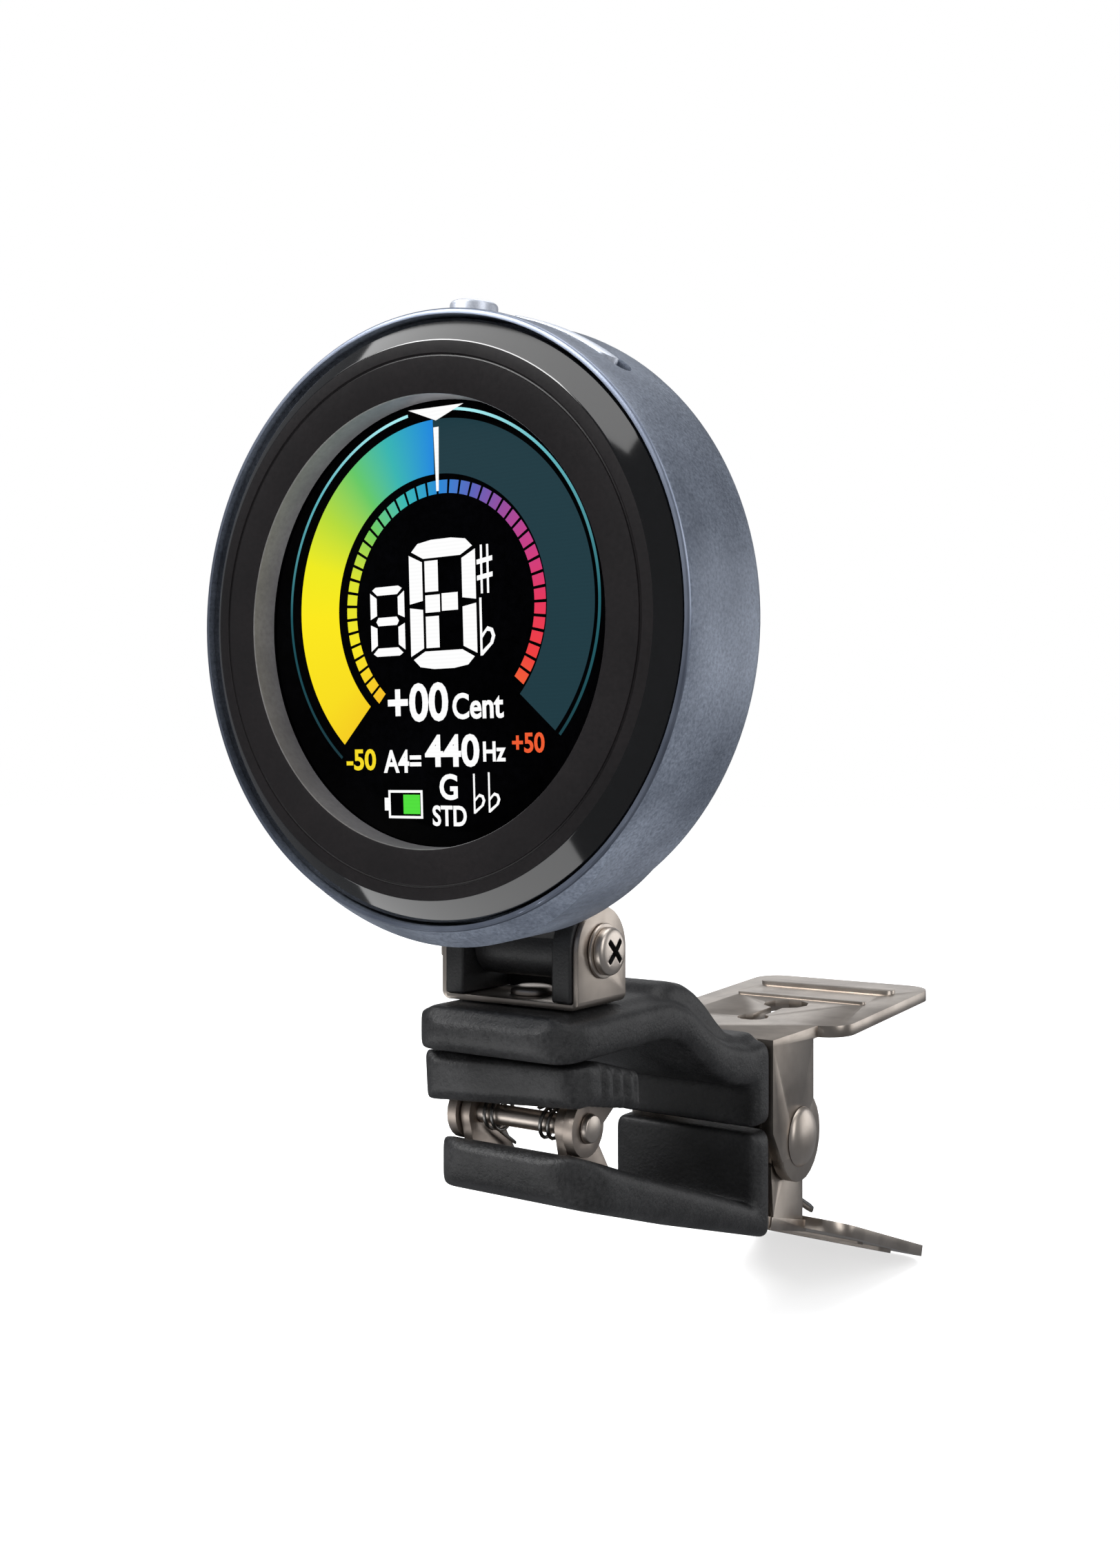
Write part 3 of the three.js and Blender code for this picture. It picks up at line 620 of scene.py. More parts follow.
@dataclass(frozen=True)
class BrushedFinish:
    """Rolled or drawn metal: long faint scratches along one axis, and slight staining."""

    name: str
    colour: str
    dark_colour: str
    roughness: float
    stretch: tuple[float, float, float]
    scratch: float = 0.12
    relief: float = 0.0015

    def make(self) -> bpy.types.Material:
        """Builds the material.

        Returns:
            The material.
        """
        material = blank(self.name)
        place = add_node(material, "ShaderNodeTexCoord", {}, {}).outputs["Object"]
        laid = add_node(material, "ShaderNodeMapping", {"Scale": self.stretch}, {"Vector": place})
        lines = add_node(material, "ShaderNodeTexNoise",
                         {"Scale": per_mm(self.scratch), "Detail": 4.0, "Roughness": 0.7},
                         {"Vector": laid.outputs["Vector"]})
        stain = add_node(material, "ShaderNodeTexNoise",
                         {"Scale": per_mm(5.0), "Detail": 3.0}, {"Vector": place})
        tint = add_node(material, "ShaderNodeValToRGB", {}, {"Fac": stain.outputs["Fac"]})
        tint.color_ramp.elements[0].position = 0.3
        tint.color_ramp.elements[0].color = linear(self.dark_colour)
        tint.color_ramp.elements[1].position = 0.62
        tint.color_ramp.elements[1].color = linear(self.colour)
        gloss = add_node(material, "ShaderNodeMapRange",
                         {"To Min": self.roughness - 0.08, "To Max": self.roughness + 0.1},
                         {"Value": lines.outputs["Fac"]})
        bump = add_node(material, "ShaderNodeBump",
                        {"Strength": 1.0, "Distance": self.relief * MM},
                        {"Height": lines.outputs["Fac"]})
        shader = add_node(material, "ShaderNodeBsdfPrincipled", {"Metallic": 1.0},
                          {"Base Color": tint.outputs["Color"],
                           "Roughness": gloss.outputs["Result"],
                           "Normal": bump.outputs["Normal"]})
        show(material, shader)
        return material


@dataclass(frozen=True)
class LitInk:
    """A lit area of the display in one colour, with the faint pixel rows of the panel."""

    name: str
    colour: str
    strength: float = 1.0

    def make(self) -> bpy.types.Material:
        """Builds the material.

        Returns:
            The material.
        """
        material = blank(self.name)
        place = add_node(material, "ShaderNodeTexCoord", {}, {}).outputs["Object"]
        rows = add_node(material, "ShaderNodeTexWave",
                        {"bands_direction": "Z", "Scale": per_mm(0.9), "Distortion": 0.0},
                        {"Vector": place})
        tint = add_node(material, "ShaderNodeMix",
                        {"data_type": "RGBA"}, {})
        bright = linear(self.colour)
        tint.inputs[6].default_value = tuple(0.96 * c for c in bright[:3]) + (1.0,)
        tint.inputs[7].default_value = bright
        material.node_tree.links.new(rows.outputs["Fac"], tint.inputs[0])
        shader = add_node(material, "ShaderNodeBsdfPrincipled",
                          {"Base Color": (0.0, 0.0, 0.0, 1.0), "Roughness": 0.25,
                           "Emission Strength": self.strength},
                          {"Emission Color": tint.outputs[2]})
        show(material, shader)
        return material


@dataclass(frozen=True)
class LitSweep:
    """A lit band whose colour runs round the display's centre, as a tuning scale's does."""

    name: str
    stops: tuple[tuple[float, str], ...]
    centre: Vector
    strength: float = 1.0

    def make(self) -> bpy.types.Material:
        """Builds the material. Stop 0 lies at the bottom, and the sweep runs clockwise.

        Returns:
            The material.
        """
        material = blank(self.name)
        place = add_node(material, "ShaderNodeTexCoord", {}, {}).outputs["Object"]
        centred = add_node(material, "ShaderNodeVectorMath", {"operation": "SUBTRACT"},
                           {})
        material.node_tree.links.new(place, centred.inputs[0])
        centred.inputs[1].default_value = self.centre
        axes = add_node(material, "ShaderNodeSeparateXYZ", {}, {"Vector": centred.outputs[0]})
        across = add_node(material, "ShaderNodeMath", {"operation": "MULTIPLY"}, {})
        across.inputs[1].default_value = -1.0
        material.node_tree.links.new(axes.outputs["X"], across.inputs[0])
        upward = add_node(material, "ShaderNodeMath", {"operation": "MULTIPLY"}, {})
        upward.inputs[1].default_value = -1.0
        material.node_tree.links.new(axes.outputs["Z"], upward.inputs[0])
        angle = add_node(material, "ShaderNodeMath", {"operation": "ARCTAN2"}, {})
        material.node_tree.links.new(across.outputs[0], angle.inputs[0])
        material.node_tree.links.new(upward.outputs[0], angle.inputs[1])
        turn = add_node(material, "ShaderNodeMapRange",
                        {"From Min": -math.pi, "From Max": math.pi, "To Min": -0.5, "To Max": 0.5},
                        {"Value": angle.outputs[0]})
        wrap = add_node(material, "ShaderNodeMath", {"operation": "WRAP"}, {})
        wrap.inputs[1].default_value = 1.0
        wrap.inputs[2].default_value = 0.0
        material.node_tree.links.new(turn.outputs["Result"], wrap.inputs[0])
        ramp = add_node(material, "ShaderNodeValToRGB", {}, {"Fac": wrap.outputs[0]})
        elements = ramp.color_ramp.elements
        while len(elements) < len(self.stops):
            elements.new(0.5)
        for element, (position, colour) in zip(elements, self.stops):
            element.position = position
            element.color = linear(colour)
        shader = add_node(material, "ShaderNodeBsdfPrincipled",
                          {"Base Color": (0.0, 0.0, 0.0, 1.0), "Roughness": 0.25,
                           "Emission Strength": self.strength},
                          {"Emission Color": ramp.outputs["Color"]})
        show(material, shader)
        return material


# Sandblasted, blue-grey anodised aluminium: an even satin sparkle from the blasting.
ANODISED = GrainedFinish("anodised_blue_grey_aluminium", "#7f8795", "#4a515e", 0.5, 0.48,
                         0.1, 0.26, 0.014, mottle=9)
# Diamond-cut aluminium: a bright narrow line where the anodising is turned away.
DIAMOND_CUT = BrushedFinish("diamond_cut_aluminium", "#949cad", "#7b8394", 0.4, (1, 1, 1))
# Gloss black ABS with a hard coat: deep and wet, with clean reflections on the bevel.
BEZEL_GLOSS = GrainedFinish("piano_black_abs", "#060607", "#030303", 0.0, 0.07, 0.02, 0.5,
                            0.0002, coat=0.6)
# Printed black ring under a matt hard coat: softer than the bevel round it.
BEZEL_FACE = GrainedFinish("matt_black_ring_print", "#161314", "#0f0d0e", 0.0, 0.36, 0.05,
                           0.3, 0.0006, specular=0.3)
# Smoky inner wall of the window: grey acrylic that catches light from the side.
WINDOW_WALL = GrainedFinish("smoked_acrylic_edge", "#6a696b", "#565557", 0.0, 0.42, 0.05, 0.4,
                            0.001)
# Display glass: an unlit panel is a very dark, slightly blue black.
GLASS_BLACK = GrainedFinish("display_glass_black", "#020203", "#000000", 0.0, 0.12, 0.02,
                            0.6, 0.0, specular=0.02)
# Moulded silicone rubber with a fine spark-eroded grain, matt and slightly dusty.
RUBBER = GrainedFinish("moulded_silicone_rubber", "#222223", "#0b0b0c", 0.0, 0.5, 0.16,
                       0.34, 0.07, mottle=4, specular=0.45)
# Glass-filled nylon: greyer and coarser than the rubber, with a faint fibre speckle.
NYLON = GrainedFinish("glass_filled_nylon", "#1a1a1b", "#0c0c0d", 0.0, 0.48, 0.12, 0.22, 0.03,
                      specular=0.45)
# Textured ABS: the rear cover's even spark grain.
ABS_COVER = GrainedFinish("textured_abs", "#1f2023", "#141416", 0.0, 0.55, 0.1, 0.25, 0.015)
# Bead-blasted, clear anodised buttons: bright and soft.
BUTTON_SILVER = GrainedFinish("bead_blasted_silver", "#d9dde6", "#bcc3d0", 0.8, 0.45, 0.06,
                              0.12, 0.004)
# Nickel-plated spring steel strip: rolling marks along the strip, warm reflections.
NICKEL_STRIP = BrushedFinish("nickel_plated_strip", "#c4bab0", "#a1978e", 0.32, (1, 0.06, 1))
# Nickel-plated screw steel: brighter, with fine turning marks.
NICKEL_SCREW = BrushedFinish("nickel_plated_screw", "#d6ccc3", "#b3a99f", 0.36, (0.2, 1, 1),
                             scratch=0.2)
# Painted shade in the screw's cross recess: its floor is coloured near-black for the shade that
# falls there.
RECESS_PAINTED_SHADE = GrainedFinish("painted_shade_cross_recess", "#171513", "#0c0b0a", 0.2, 0.6, 0.1, 0.2,
                            0.004)
# Plain pressed steel of the small brackets: matt and warm, with faint rolling marks.
PLAIN_STEEL = BrushedFinish("pressed_bracket_steel", "#b5aaa1", "#978c83", 0.42, (1, 0.1, 1),
                            scratch=0.16)
# Oiled music wire: dark grey with drawing lines.
MUSIC_WIRE = BrushedFinish("music_wire", "#8b8a88", "#5e5c5a", 0.28, (0.1, 1, 1), scratch=0.2)
# Solder mask over copper: green lacquer, glossy, with fine mottling.
SOLDER_MASK = GrainedFinish("solder_mask", "#1f6a44", "#12472c", 0.0, 0.3, 0.08, 0.8, 0.01,
                            mottle=3, coat=0.4)
# Aluminium laminate of a pouch cell, or stamped shield plate: satin and slightly creased.
LAMINATE = BrushedFinish("aluminium_laminate", "#b9bdc2", "#8e9399", 0.36, (1, 1, 0.2))
# Brass backing of the piezo disc.
BRASS = BrushedFinish("rolled_brass", "#c9a552", "#a07f36", 0.28, (0.1, 1, 1))


# --------------------------------------------------------------------- lettering


def lettering(text: str, box: tuple[float, float, float, float], weight: float,
              depth: float) -> bpy.types.Object:
    """Sets a word upright in the (x, z) plane, stretched to fill a box.

    Args:
        text: The word or number.
        box: Left, lower, right and upper edges, in millimetres.
        weight: How much bolder than plain, as a share of the letters' height.
        depth: The thickness of the letters, in millimetres.

    Returns:
        A thin solid in front of Y = 0.
    """
    deselect_all()
    bpy.ops.object.text_add()
    piece = bpy.context.object
    piece.name = "word"
    piece.data.body = text
    piece.data.offset = weight
    piece.data.resolution_u = 4
    piece.data.extrude = depth * MM / 2
    activate(piece)
    bpy.ops.object.convert(target="MESH")
    piece = bpy.context.object
    corners = [vertex.co for vertex in piece.data.vertices]
    low = Vector((min(c.x for c in corners), min(c.y for c in corners), -depth * MM / 2))
    high = Vector((max(c.x for c in corners), max(c.y for c in corners), 0))
    left, lower, right, upper = (edge * MM for edge in box)
    grow = Matrix.Diagonal(((right - left) / (high.x - low.x),
                            (upper - lower) / (high.y - low.y), 1, 1))
    place = Matrix.Translation((left, lower, 0))
    return settle(piece, FACING_TURNS[Facing.FRONT] @ place @ grow @ Matrix.Translation(-low))


# ----------------------------------------------------------------------- display


@dataclass
class Display:
    """The lit read-out behind the glass: tuning scale, note, pitch and battery."""

    face: float = 1.5
    depth: float = 0.02
    scale_height: float = 1.3
    inner_shift: float = 0.8
    band_shift: float = 0.4
    tick_count: int = 41
    tick_start: float = 228.0
    tick_sweep: float = 268.0
    parts: list[bpy.types.Object] = field(default_factory=list)

    def stroke(self, name: str, outline: Sequence[Point], layer: int = 0) -> bpy.types.Object:
        """Makes one thin lit shape on the glass.

        Args:
            name: Its name.
            outline: Its outline in (x, z).
            layer: Shapes in a higher layer lie in front of lower ones.

        Returns:
            The shape.
        """
        front = self.face - self.depth * (layer + 1)
        return drawn(name, outline, front, self.face - self.depth * layer, Facing.FRONT)

    def sector(self, shift: float, inner: float, outer: float, start: float, end: float,
               steps: int) -> list[Point]:
        """The outline of a ring sector about the scale's centre.

        Args:
            shift: How far right of the display's middle the centre lies.
            inner: Inner radius.
            outer: Outer radius.
            start: First angle in degrees from the right, anticlockwise.
            end: Last angle.
            steps: Straight steps along each arc.

        Returns:
            The outline's points.
        """
        middle = self.scale_height
        return [*arc(shift, middle, outer, start, end, steps),
                *arc(shift, middle, inner, end, start, steps)]

    def centre_in_frame(self, shift: float) -> Vector:
        """Where a scale's centre lies once the head is leaned and in its place."""
        upright = Vector((shift, self.face, self.scale_height)) * MM
        return HEAD_CENTRE + Matrix.Rotation(HEAD_LEAN, 3, "X") @ upright

    def light(self, piece: bpy.types.Object, finish: bpy.types.Material) -> None:
        """Dresses a lit shape, leans it with the head and hands it over."""
        piece = shift_to_head(dress(piece, finish))
        hand_over(piece, "head", Slot.DISPLAY)

    def bands(self) -> None:
        """The two wide arcs: the left one lit from blue to yellow, the right one dim."""
        flat_side = self.stroke("flat_side_band", self.sector(self.band_shift, 10.1, 14.2,
                                                              90.0, 226.0, 60))
        stops = ((0.1, "#f3c316"), (0.16, "#f8dc12"), (0.25, "#fbe80c"), (0.3, "#eeea14"),
                 (0.35, "#b4da36"), (0.4, "#63c765"), (0.445, "#35b3b0"), (0.5, "#1585de"))
        self.light(flat_side, LitSweep("lit_flat_side_band", stops,
                                       self.centre_in_frame(self.band_shift)).make())
        sharp_side = self.stroke("sharp_side_band", self.sector(self.band_shift, 10.1, 14.2,
                                                                90.0, -42.0, 60))
        self.light(sharp_side, LitInk("dim_sharp_side_band", "#15363f").make())

    def outer_ring(self) -> None:
        """The hairline ring round the scale, bright at the top and fading downwards."""
        left = self.stroke("ring", self.sector(0.05, 14.84, 15.06, 98.0, 229.0, 70))
        right = self.stroke("ring", self.sector(0.05, 14.84, 15.06, 82.0, -41.0, 70))
        stops = ((0.1, "#0b2c33"), (0.25, "#174e58"), (0.36, "#5fb4bd"), (0.46, "#a8edf2"),
                 (0.54, "#a8edf2"), (0.62, "#64b7c0"), (0.75, "#1b5c66"), (0.9, "#0b2c33"))
        self.light(join_all("scale_outline", [left, right]),
                   LitSweep("lit_scale_outline", stops, self.centre_in_frame(0.05)).make())

    def ticks(self) -> None:
        """The inner arc of short segments, in every colour from yellow to red."""
        pitch = self.tick_sweep / self.tick_count
        segments = []
        for i in range(self.tick_count):
            start = self.tick_start - i * pitch
            outline = self.sector(self.band_shift + 0.4, 8.6, 9.6, start - 0.7,
                                  start - pitch + 0.7, 2)
            segments.append(self.stroke("tick", outline))
        stops = ((0.1, "#f5b31c"), (0.2, "#f7e41a"), (0.3, "#d8e227"), (0.37, "#6fca57"),
                 (0.44, "#35b7b4"), (0.5, "#1d86d6"), (0.56, "#5a5fb8"), (0.61, "#93499c"),
                 (0.67, "#c23b86"), (0.75, "#e4325a"), (0.82, "#ee3a3a"), (0.87, "#f0602f"))
        self.light(join_all("cent_ticks", segments),
                   LitSweep("lit_cent_ticks", stops,
                            self.centre_in_frame(self.band_shift + 0.4)).make())

    def digit(self, left: float, lower: float, right: float, upper: float,
              bars: Sequence[Sequence[Point]]) -> list[bpy.types.Object]:
        """One digit's segments, drawn in a unit square and stretched to its box."""
        return [self.stroke("bar", [(left + u * (right - left), lower + v * (upper - lower))
                                    for u, v in bar], layer=1) for bar in bars]

    def note(self) -> list[bpy.types.Object]:
        """The large note letter: every segment of it is lit, as at switch-on."""
        upright = ((0, 0.895), (0.2, 0.835), (0.2, 0.535), (0, 0.515))
        top = ((0.04, 0.92), (0.14, 0.98), (0.35, 1), (0.65, 1), (0.86, 0.98), (0.96, 0.92),
               (0.78, 0.86), (0.22, 0.86))
        bars = [top, upright]
        bars += [[(1 - u, v) for u, v in upright], [(u, 1 - v) for u, v in top]]
        bars += [[(u, 1 - v) for u, v in upright], [(1 - u, 1 - v) for u, v in upright]]
        bars += [((0.24, 0.6), (0.44, 0.6), (0.44, 0.84), (0.24, 0.84)),
                 ((0.24, 0.44), (0.46, 0.44), (0.46, 0.575), (0.24, 0.575)),
                 ((0.49, 0.445), (0.73, 0.445), (0.73, 0.58), (0.49, 0.58)),
                 ((0.24, 0.165), (0.44, 0.165), (0.44, 0.41), (0.24, 0.41))]
        shift = self.inner_shift
        return self.digit(-1.5 - shift, -3.3, 4.9 - shift, 6.5, bars)

    def octave(self) -> list[bpy.types.Object]:
        """The small figure to the left of the note, with all seven of its bars lit."""
        side = ((0.02, 0.54), (0.2, 0.59), (0.2, 0.84), (0.02, 0.92))
        top = ((0.08, 0.96), (0.18, 1), (0.82, 1), (0.92, 0.96), (0.78, 0.88), (0.22, 0.88))
        bars = [top, side, [(1 - u, v) for u, v in side], [(u, 1 - v) for u, v in top],
                [(u, 1 - v) for u, v in side], [(1 - u, 1 - v) for u, v in side],
                ((0.24, 0.44), (0.76, 0.44), (0.82, 0.5), (0.76, 0.56), (0.24, 0.56), (0.18, 0.5))]
        shift = self.inner_shift
        return self.digit(-5.6 - shift, -2.1, -2.0 - shift, 3.3, bars)

    def sharp_sign(self, left: float, lower: float, right: float,
                   upper: float) -> list[bpy.types.Object]:
        """A sharp: two uprights crossed by two bars."""
        uprights = [((u, 0), (u + 0.13, 0), (u + 0.13, 1), (u, 1)) for u in (0.22, 0.62)]
        bars = [((0, v), (1, v + 0.06), (1, v + 0.16), (0, v + 0.1)) for v in (0.27, 0.6)]
        crossed = self.digit(left, lower, right, upper, uprights)
        return crossed + [self.stroke("bar", [(left + u * (right - left),
                                               lower + v * (upper - lower)) for u, v in bar],
                                      layer=2) for bar in bars]

    def flat_sign(self, left: float, lower: float, right: float,
                  upper: float) -> list[bpy.types.Object]:
        """A flat: a tall stem with a leaning bowl at its foot."""
        stem = ((0, 0), (0.14, 0), (0.14, 1), (0, 1))
        upper_bowl = ((0.14, 0.38), (0.5, 0.5), (0.85, 0.46), (1, 0.33), (0.78, 0.33),
                      (0.68, 0.41), (0.45, 0.42), (0.14, 0.3))
        lower_bowl = ((1, 0.33), (0.85, 0.2), (0.14, 0), (0.14, 0.09), (0.66, 0.22),
                      (0.78, 0.33))
        return self.digit(left, lower, right, upper, (stem, upper_bowl, lower_bowl))

    def words(self, ink: bpy.types.Material) -> None:
        """Every white sign of the read-out: pointer, needle, note and figures.

        Args:
            ink: The white of the lit signs.
        """
        shift = self.inner_shift
        middle = 1.5 - shift
        signs = [self.stroke("pointer", [(middle - 2.65, 16.5), (middle, 15.4),
                                         (middle + 2.65, 16.3)], layer=1),
                 self.stroke("needle", [(middle - 0.25, 14.9), (middle + 0.25, 14.9),
                                        (middle + 0.11, 10.1), (middle - 0.11, 10.1)],
                             layer=1)]
        signs += self.note() + self.octave()
        signs += self.sharp_sign(5.05 - shift, 2.1, 6.5 - shift, 5.7)
        signs += self.flat_sign(5.2 - shift, -2.5, 6.6 - shift, 1.8)
        signs += self.flat_sign(4.2 - shift, -14.3, 5.3 - shift, -11.3)
        signs += self.flat_sign(5.6 - shift, -14.2, 6.7 - shift, -11.2)
        texts = (("+00", (-4, -7.3, 2, -4.3)), ("Cent", (2.4, -7.2, 7.2, -5.2)),
                 ("A4=", (-4.6, -11.2, -0.8, -9.4)), ("440", (-0.4, -10.8, 4.85, -8.3)),
                 ("Hz", (5.2, -10.4, 7.3, -8.9)), ("G", (0.95, -13.3, 2.7, -11.3)),
                 ("STD", (0.2, -15.3, 3.5, -13.7)))
        for text, (left, lower, right, upper) in texts:
            word = lettering(text, (left - shift, lower, right - shift, upper), 0.025,
                             self.depth)
            signs.append(settle(word, Matrix.Translation((0, (self.face - self.depth) * MM, 0))))
        signs += self.battery_case()
        self.light(join_all("read_out", signs), ink)

    def battery_case(self) -> list[bpy.types.Object]:
        """The battery sign's outline: a hollow box with a small nose at its left end."""
        left, lower, right, upper = -5.0, -14.75, -1.55, -12.55
        rim = 0.2
        sides = [(left, lower, right, lower + rim), (left, upper - rim, right, upper),
                 (left, lower + rim, left + rim, upper - rim),
                 (right - rim, lower + rim, right, upper - rim),
                 (left - 0.4, lower + 0.6, left, upper - 0.6)]
        return [self.stroke("battery_side", [(a, b), (c, b), (c, d), (a, d)], layer=1)
                for a, b, c, d in sides]

    def small_colours(self) -> None:
        """The coloured signs: the ends of the scale and the battery's charge."""
        flat_end = lettering("-50", (-9.3, -11.0, -6.2, -9.3), 0.025, self.depth)
        sharp_end = lettering("+50", (7.1, -9.8, 10.0, -8.3), 0.025, self.depth)
        forward = Matrix.Translation((0, (self.face - self.depth) * MM, 0))
        for piece, name, colour in ((flat_end, "flat_end_figure", "#f7dc1c"),
                                    (sharp_end, "sharp_end_figure", "#f05a2c")):
            piece.name = name
            self.light(settle(piece, forward), LitInk("lit_" + name, colour).make())
        charge = self.stroke("battery_charge", [(-3.5, -14.4), (-1.85, -14.4), (-1.85, -12.9),
                                                (-3.5, -12.9)])
        self.light(charge, LitInk("lit_battery_charge", "#4fe03a").make())

    def build(self) -> None:
        """Builds every lit sign."""
        self.bands()
        self.outer_ring()
        self.ticks()
        self.words(LitInk("lit_white", "#ffffff").make())
        self.small_colours()


# -------------------------------------------------------------------------- head


@dataclass
class Head:
    """The round head: case with its chin, front ring, glass, buttons and rear cover."""

    key_plane: float = 4.3
    power_angle: float = 5.8
    rocker_angle: float = 27.8
    slot_half: float = 6.15
    slot_width: float = 2.4
    cap_half: float = 4.85
    cap_width: float = 1.9
    post_radius: float = 19.9
    post_angles: tuple[float, ...] = (55.0, 125.0, 235.0, 305.0)

    def round_about_head(self, piece: bpy.types.Object, angle: float) -> bpy.types.Object:
        """Swings a piece made at the head's top to an angle from it, clockwise."""
        return settle(piece, Matrix.Rotation(math.radians(angle), 4, "Y"))

    def key_prism(self, name: str, half: float, width: float, low: float,
                  high: float) -> bpy.types.Object:
        """An upright prism with round ends, across the head's top in the keys' plane."""
        outline = round_box(-half, self.key_plane - width / 2, half, self.key_plane + width / 2,
                            width / 2 - 0.001, 12)
        return drawn(name, outline, low, high, Facing.TOP)

    def case(self) -> None:
        """The metal case: a drum with a chin at its foot, and openings for the keys."""
        wall = turned("case", [(22.78, -0.3), (23.0, -0.3), (23.12, -0.24), (23.2, -0.13),
                               (23.25, 0.02), (23.34, 1.3), (23.8, 8.3), (23.78, 8.7),
                               (23.7, 9.1), (23.52, 9.42), (23.24, 9.68), (22.9, 9.8),
                               (22.3, 9.8), (22.3, 2.2), (22.78, 2.2)], ring=True)
        cone = turned("chin", [(22.95, -0.3), (23.05, -0.3), (23.2, -0.1), (24.85, 2.6),
                               (24.85, 8.5), (24.7, 9.1), (24.45, 9.55), (24.1, 9.8)])
        lobe = turned("lobe", [(20.7, -1.0), (20.7, 8.8), (20.6, 9.3), (20.35, 9.65),
                               (20.0, 9.8)])
        lobe = settle(lobe, Matrix.Translation((0, 0, -4 * MM)))
        chin = combine(cone, lobe, "INTERSECT")
        chin = combine(chin, turned("hollow", [(22.85, -2), (22.85, 12)]), "DIFFERENCE")
        case = combine(wall, chin, "UNION")
        slot = self.round_about_head(self.key_prism("slot", self.slot_half, self.slot_width,
                                                    19, 27), self.rocker_angle)
        case = combine(case, slot, "DIFFERENCE")
        hole = turned("hole", [(2.05, 19), (2.05, 27)], 64, axis=Vector((0, 0, 1)))
        hole = settle(hole, Matrix.Translation((0, self.key_plane * MM, 0)))
        case = combine(case, self.round_about_head(hole, self.power_angle), "DIFFERENCE")
        mouth = self.key_prism("mouth", 4.8, 3.7, 19, 27)
        case = combine(case, self.round_about_head(mouth, -90), "DIFFERENCE")
        case.name = "case_with_chin"
        soften(case, 0.07, 2, 32)
        dress(case, ANODISED.make())
        paint(case, DIAMOND_CUT.make(),
              lambda middle, normal: middle.y < -0.07 and normal.y < -0.25
              and math.hypot(middle.x, middle.z) < 23.22)
        hand_over(shift_to_head(case), "head", Slot.CASE, "case_shell")

    def front_ring(self) -> None:
        """The black ring: broad gloss bevel, flat printed face, fine groove, deep window."""
        ring = turned("front_ring", [(16.9, -0.78), (16.94, -0.87), (17.03, -0.9),
                                     (19.6, -0.9), (19.64, -0.8), (19.73, -0.77),
                                     (19.82, -0.8), (19.86, -0.9), (20.72, -0.9),
                                     (20.78, -0.89), (20.84, -0.86), (22.42, -0.04),
                                     (22.48, 0.0), (22.5, 0.06), (22.5, 2.05), (18.2, 2.05),
                                     (18.2, 1.4), (16.9, 1.4)], ring=True)
        soften(ring, 0, angle=20)
        dress(ring, BEZEL_GLOSS.make())
        paint(ring, BEZEL_FACE.make(),
              lambda middle, normal: 16.96 < math.hypot(middle.x, middle.z) < 20.72
              and middle.y < -0.7)
        paint(ring, WINDOW_WALL.make(),
              lambda middle, normal: math.hypot(middle.x, middle.z) < 16.96)
        hand_over(shift_to_head(ring), "head", Slot.BEZEL, "bezel_ring")

    def glass(self) -> None:
        """The display's glass, flat and dark."""
        glass = turned("display_glass", [(17.85, 1.5), (17.93, 1.54), (17.95, 1.6),
                                         (17.95, 2.05), (17.85, 2.1)])
        soften(glass, 0, angle=30)
        hand_over(shift_to_head(dress(glass, GLASS_BLACK.make())), "head", Slot.DISPLAY,
                  "display_lens")

    def power_button(self) -> None:
        """The domed round key with its retaining flange."""
        key = turned("power_key_cap", [(2.1, 21.35), (2.2, 21.45), (2.2, 21.9), (1.85, 21.9),
                                       (1.85, 24.3), (1.82, 24.42), (1.74, 24.52),
                                       (1.6, 24.58), (1.0, 24.65), (0.4, 24.68)],
                     64, axis=Vector((0, 0, 1)))
        soften(key, 0, angle=40)
        key = settle(key, Matrix.Translation((0, self.key_plane * MM, 0)))
        key = self.round_about_head(key, self.power_angle)
        hand_over(shift_to_head(dress(key, BUTTON_SILVER.make())), "power_key", Slot.BUTTON,
                  "power_button")

    def rocker(self) -> None:
        """The long rocker key, crowned to the case's curve, on its flange."""
        crown = turned("crown", [(23.5, self.key_plane - 1.2), (23.66, self.key_plane - 0.6),
                                 (23.7, self.key_plane), (23.66, self.key_plane + 0.6),
                                 (23.5, self.key_plane + 1.2)])
        cap = self.round_about_head(self.key_prism("rocker_key_cap", self.cap_half,
                                                   self.cap_width, 21.2, 26),
                                    self.rocker_angle)
        cap = combine(cap, crown, "INTERSECT")
        shoulder = turned("shoulder", [(21.6, self.key_plane - 1.6),
                                       (21.6, self.key_plane + 1.6)])
        flange = self.round_about_head(self.key_prism("flange", 4.9, 3.0, 20.3, 26),
                                       self.rocker_angle)
        cap = combine(cap, combine(flange, shoulder, "INTERSECT"), "UNION")
        cap.name = "rocker_key_cap"
        soften(cap, 0.14, 3)
        hand_over(shift_to_head(dress(cap, BUTTON_SILVER.make())), "rocker_key", Slot.BUTTON,
                  "rocker_button")

    def post_place(self, angle: float) -> Matrix:
        """The move that takes a piece from the head's middle to a cover screw's place."""
        turn = math.radians(angle)
        return Matrix.Translation(Vector((math.sin(turn), 0, math.cos(turn)))
                                  * self.post_radius * MM)

    def cover(self) -> None:
        """The rear cover: a grained plate with a fine ring and sunk screw seats."""
        plate = turned("rear_plate", [(22.1, 8.75), (22.1, 9.7), (22.05, 9.85), (21.9, 9.96),
                                      (21.7, 10.0), (13.85, 10.0), (13.8, 9.88), (13.4, 9.88),
                                      (13.35, 10.0), (6.0, 10.0)])
        for angle in self.post_angles:
            seat = turned("seat", [(0.85, 8), (0.85, 9.2), (1.75, 10.1), (1.75, 11)], 40)
            plate = combine(plate, settle(seat, self.post_place(angle)), "DIFFERENCE")
        soften(plate, 0.04, 1)
        hand_over(shift_to_head(dress(plate, ABS_COVER.make())), "head", Slot.PLASTIC,
                  "rear_cover")

